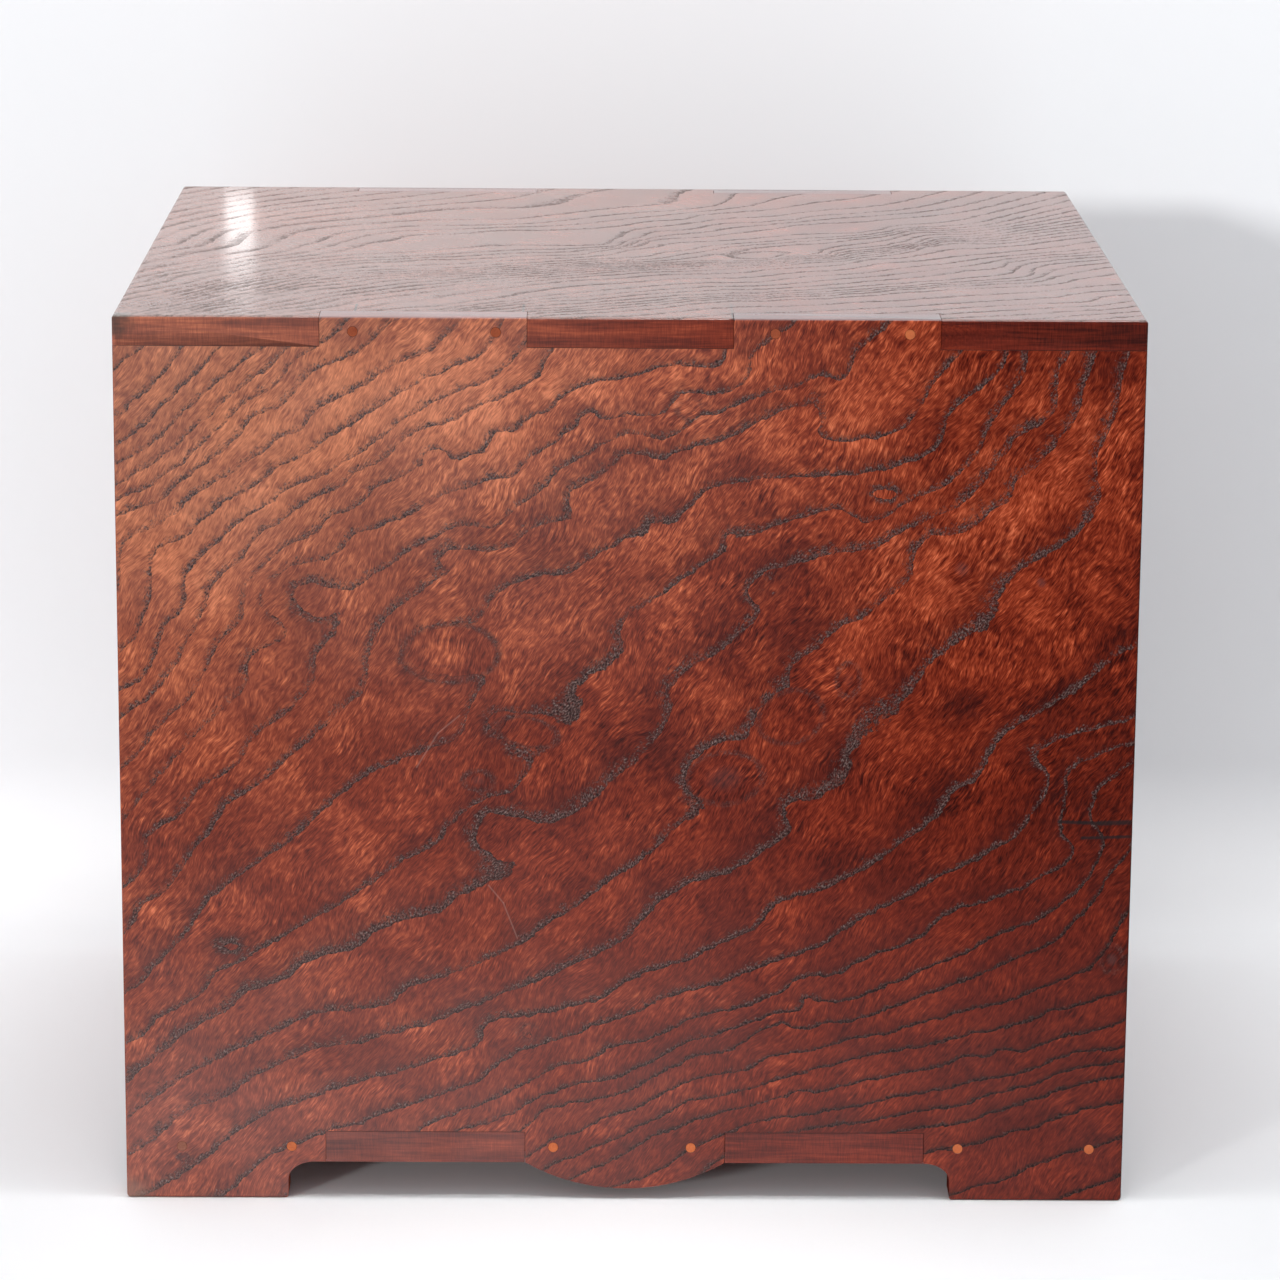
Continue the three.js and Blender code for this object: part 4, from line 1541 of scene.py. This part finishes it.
@dataclass
class Drawers:
    """The four drawers and their ring pulls."""

    log: Log
    inner: bpy.types.Material
    names: tuple[str, ...] = ("left_drawer", "right_drawer", "middle_drawer", "lower_drawer")

    def dress(self) -> None:
        """Builds the figured fronts and finishes the drawers' boards and pulls."""
        # The front's pale film share is painted reflection.
        front = FiguredLacquer(
            "front_lacquer",
            reflection_top=0.0,
            reflection_foot=0.0,
            reflection_all=0.04,
            chart=Chart(
                long_axis=0,
                high_axis=2,
                long_start=150.0,
                high_start=6.0,
                long_scale=0.5,
                high_scale=0.9,
            ),
            face=1,
            side=-1,
            lean=70.0,
            tone=0.46,
            tone_and_light_along=0.0,
            tone_and_light_high=0.05,
            warmth=0.7,
        )
        pale = PlainWood(
            "pale_wood",
            light=(0.66, 0.49, 0.31),
            dark=(0.52, 0.36, 0.21),
            line=(0.34, 0.22, 0.12),
            along=1,
            ring=6.0,
            gloss=0.0,
        )
        face, plain, brass = front.material(), pale.material(), AgedBrass().material()
        for name in self.names:
            FiguredBoard(f"{name}_front", Body(name), self.log, front, spacing=3.0).build(face, plain)
            boards = [f"{name}_{part}" for part in ("right_side", "left_side", "back", "bottom")]
            give(boards, plain)
            pulls = [f"{name}_{part}" for part in ("pull_plate", "eye_pin", "pull_ring")]
            give(pulls, brass)
            LOG.info("%s dressed", name)


def give(nodes: list[str], finish: bpy.types.Material) -> None:
    """Puts one finish on several CAD nodes.

    Args:
        nodes: Names of the nodes.
        finish: The material they get.
    """
    for name in nodes:
        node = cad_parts[name]
        for index in range(max(1, len(node.material_slots))):
            if not node.material_slots:
                node.data.materials.append(finish)
            node.material_slots[index].material = finish


# Studio


@dataclass(frozen=True)
class Lamp:
    """A soft rectangular lamp, in metres, watts and degrees."""

    name: str
    place: Triple
    aim: Triple
    size: tuple[float, float]
    power: float
    spread: float = 180.0
    seen: bool = True

    def hang(self) -> None:
        """Adds the lamp to the scene."""
        data = bpy.data.lights.new(self.name, "AREA")
        data.shape = "RECTANGLE"
        data.size, data.size_y = self.size
        data.energy = self.power
        data.spread = math.radians(self.spread)
        lamp = bpy.data.objects.new(self.name, data)
        lamp.location = self.place
        direction = Vector(self.aim) - Vector(self.place)
        lamp.rotation_euler = direction.to_track_quat("-Z", "Y").to_euler()
        lamp.visible_camera = self.seen
        bpy.context.scene.collection.objects.link(lamp)


LAMPS = (
    Lamp(
        "wall_wash",
        place=(0.20, 0.0, 1.5),
        aim=(-0.205, 0.0, 0.55),
        size=(1.4, 0.2),
        power=4.6,
        spread=100.0,
    ),
    Lamp("apron", place=(0.48, 0.0, 1.15), aim=(0.215, 0.0, 0.0), size=(0.20, 0.04), power=0.07, spread=20.0),
    Lamp(
        "glint",
        place=(-0.196, -0.134, 0.298),
        aim=(0.0, -0.134, 0.280),
        size=(0.010, 0.024),
        power=0.0015,
        seen=False,
    ),
)


@dataclass
class Studio:
    """Pale floor and wall, soft lamps and the camera of the photograph."""

    eye: tuple[float, float, float] = (1.5603, -0.0090, 0.5190)
    ahead: tuple[float, float, float] = (-0.97226, 0.01051, -0.23366)
    rightward: tuple[float, float, float] = (0.01081, 0.99994, 0.0)
    roll: float = 0.0074271
    lens: float = 139.46
    wall_place: float = -0.205
    cove: float = 0.05
    wall_paint: Colour = (0.862, 0.872, 0.886)
    floor_paint: Colour = (0.925, 0.930, 0.938)
    seen_sky: Colour = (0.90, 0.92, 0.95)
    cast_sky: Colour = (0.93, 0.96, 1.0)
    cast_strength: float = 0.53
    film_width: float = 36.0

    def camera(self) -> None:
        """Stands the camera where the photograph was taken."""
        data = bpy.data.cameras.new("photo_camera")
        data.lens = self.lens
        data.sensor_width = self.film_width
        data.clip_start = 0.01
        ahead = Vector(self.ahead).normalized()
        right = Vector(self.rightward).normalized()
        up = right.cross(ahead)
        cos, sin = math.cos(self.roll), math.sin(self.roll)
        right, up = right * cos + up * sin, up * cos - right * sin
        camera = bpy.data.objects.new("photo_camera", data)
        camera.matrix_world = Matrix.Translation(self.eye) @ Matrix(
            (right, up, -ahead)
        ).transposed().to_4x4()
        bpy.context.scene.collection.objects.link(camera)
        bpy.context.scene.camera = camera

    def _paint(self) -> bpy.types.Material:
        """Matt paint that can be looked through from behind."""
        net = Net("backdrop")
        share = net.place().part(2).rise(0.0, self.cove / MM)
        shader = net.node(
            "ShaderNodeBsdfPrincipled",
            {},
            {
                "Base Color": net.blend(self.floor_paint, self.wall_paint, share),
                "Roughness": 0.7,
                "Specular IOR Level": 0.2,
            },
        )
        clear = net.node("ShaderNodeBsdfTransparent", {}, {})
        behind = net.node("ShaderNodeNewGeometry", {}, {}, "Backfacing")
        mixed = net.node("ShaderNodeMixShader", {}, {0: behind, 1: shader, 2: clear})
        net.node("ShaderNodeOutputMaterial", {}, {"Surface": mixed})
        return net.material

    def stage(self) -> None:
        """Lays the floor, which bends up into the wall behind the chest."""
        wide, near, tall, bend, steps = 3.0, 4.0, 3.0, self.cove, 16
        turns = [math.pi / 2 * step / steps for step in range(steps + 1)]
        profile = [(near, 0.0)]
        profile += [
            (self.wall_place + bend * (1 - math.sin(turn)), bend * (1 - math.cos(turn)))
            for turn in turns
        ]
        profile.append((self.wall_place, tall))
        corners = [(x, side, z) for x, z in profile for side in (-wide, wide)]
        faces = [(2 * i, 2 * i + 1, 2 * i + 3, 2 * i + 2) for i in range(len(profile) - 1)]
        mesh = bpy.data.meshes.new("backdrop")
        mesh.from_pydata(corners, [], faces)
        for face in mesh.polygons:
            face.use_smooth = True
        mesh.materials.append(self._paint())
        sheet = bpy.data.objects.new("backdrop", mesh)
        bpy.context.scene.collection.objects.link(sheet)

    def sun(self, toward: Triple, power: float, width: float) -> None:
        """Adds the low sun.

        Args:
            toward: Direction in which it shines.
            power: Watts per square metre.
            width: Its size in the sky, in degrees.
        """
        data = bpy.data.lights.new("sun", "SUN")
        data.energy = power
        data.angle = math.radians(width)
        sun = bpy.data.objects.new("sun", data)
        sun.rotation_euler = Vector(toward).to_track_quat("-Z", "Y").to_euler()
        bpy.context.scene.collection.objects.link(sun)

    def light(self) -> None:
        """Lights the scene low from the front left, softly from above and from all round."""
        self.sun(toward=(-0.7772, 0.6072, -0.1650), power=1.28, width=7.0)
        for lamp in LAMPS:
            lamp.hang()
        world = bpy.data.worlds.new("room")
        world.use_nodes = True
        tree = world.node_tree
        tree.nodes.clear()
        seen = tree.nodes.new("ShaderNodeBackground")
        seen.inputs["Color"].default_value = (*self.seen_sky, 1.0)
        cast = tree.nodes.new("ShaderNodeBackground")
        cast.inputs["Color"].default_value = (*self.cast_sky, 1.0)
        cast.inputs["Strength"].default_value = self.cast_strength
        path = tree.nodes.new("ShaderNodeLightPath")
        mix = tree.nodes.new("ShaderNodeMixShader")
        out = tree.nodes.new("ShaderNodeOutputWorld")
        tree.links.new(path.outputs["Is Camera Ray"], mix.inputs[0])
        tree.links.new(cast.outputs[0], mix.inputs[1])
        tree.links.new(seen.outputs[0], mix.inputs[2])
        tree.links.new(mix.outputs[0], out.inputs[0])
        bpy.context.scene.world = world

    def build(self) -> None:
        """Sets up camera, stage and light."""
        self.camera()
        self.stage()
        self.light()
        bpy.context.scene.view_settings.view_transform = "Standard"


def main() -> None:
    """Builds the studio and dresses the chest."""
    logging.basicConfig(level=logging.INFO, format="%(name)s: %(message)s")
    Studio().build()
    inner = PlainWood(
        "inner_wood",
        light=(0.30, 0.13, 0.06),
        dark=(0.19, 0.075, 0.035),
        line=(0.10, 0.04, 0.02),
        along=0,
        ring=8.0,
        gloss=0.2,
    )
    inside = inner.material()
    top_log = Log(TOP_RINGS, (), TOP_PATCHES)
    Case(Log(SIDE_RINGS, SIDE_EYES, SIDE_PATCHES), top_log, inside).dress()
    Drawers(top_log, inside).dress()


if __name__ == "__main__":
    main()
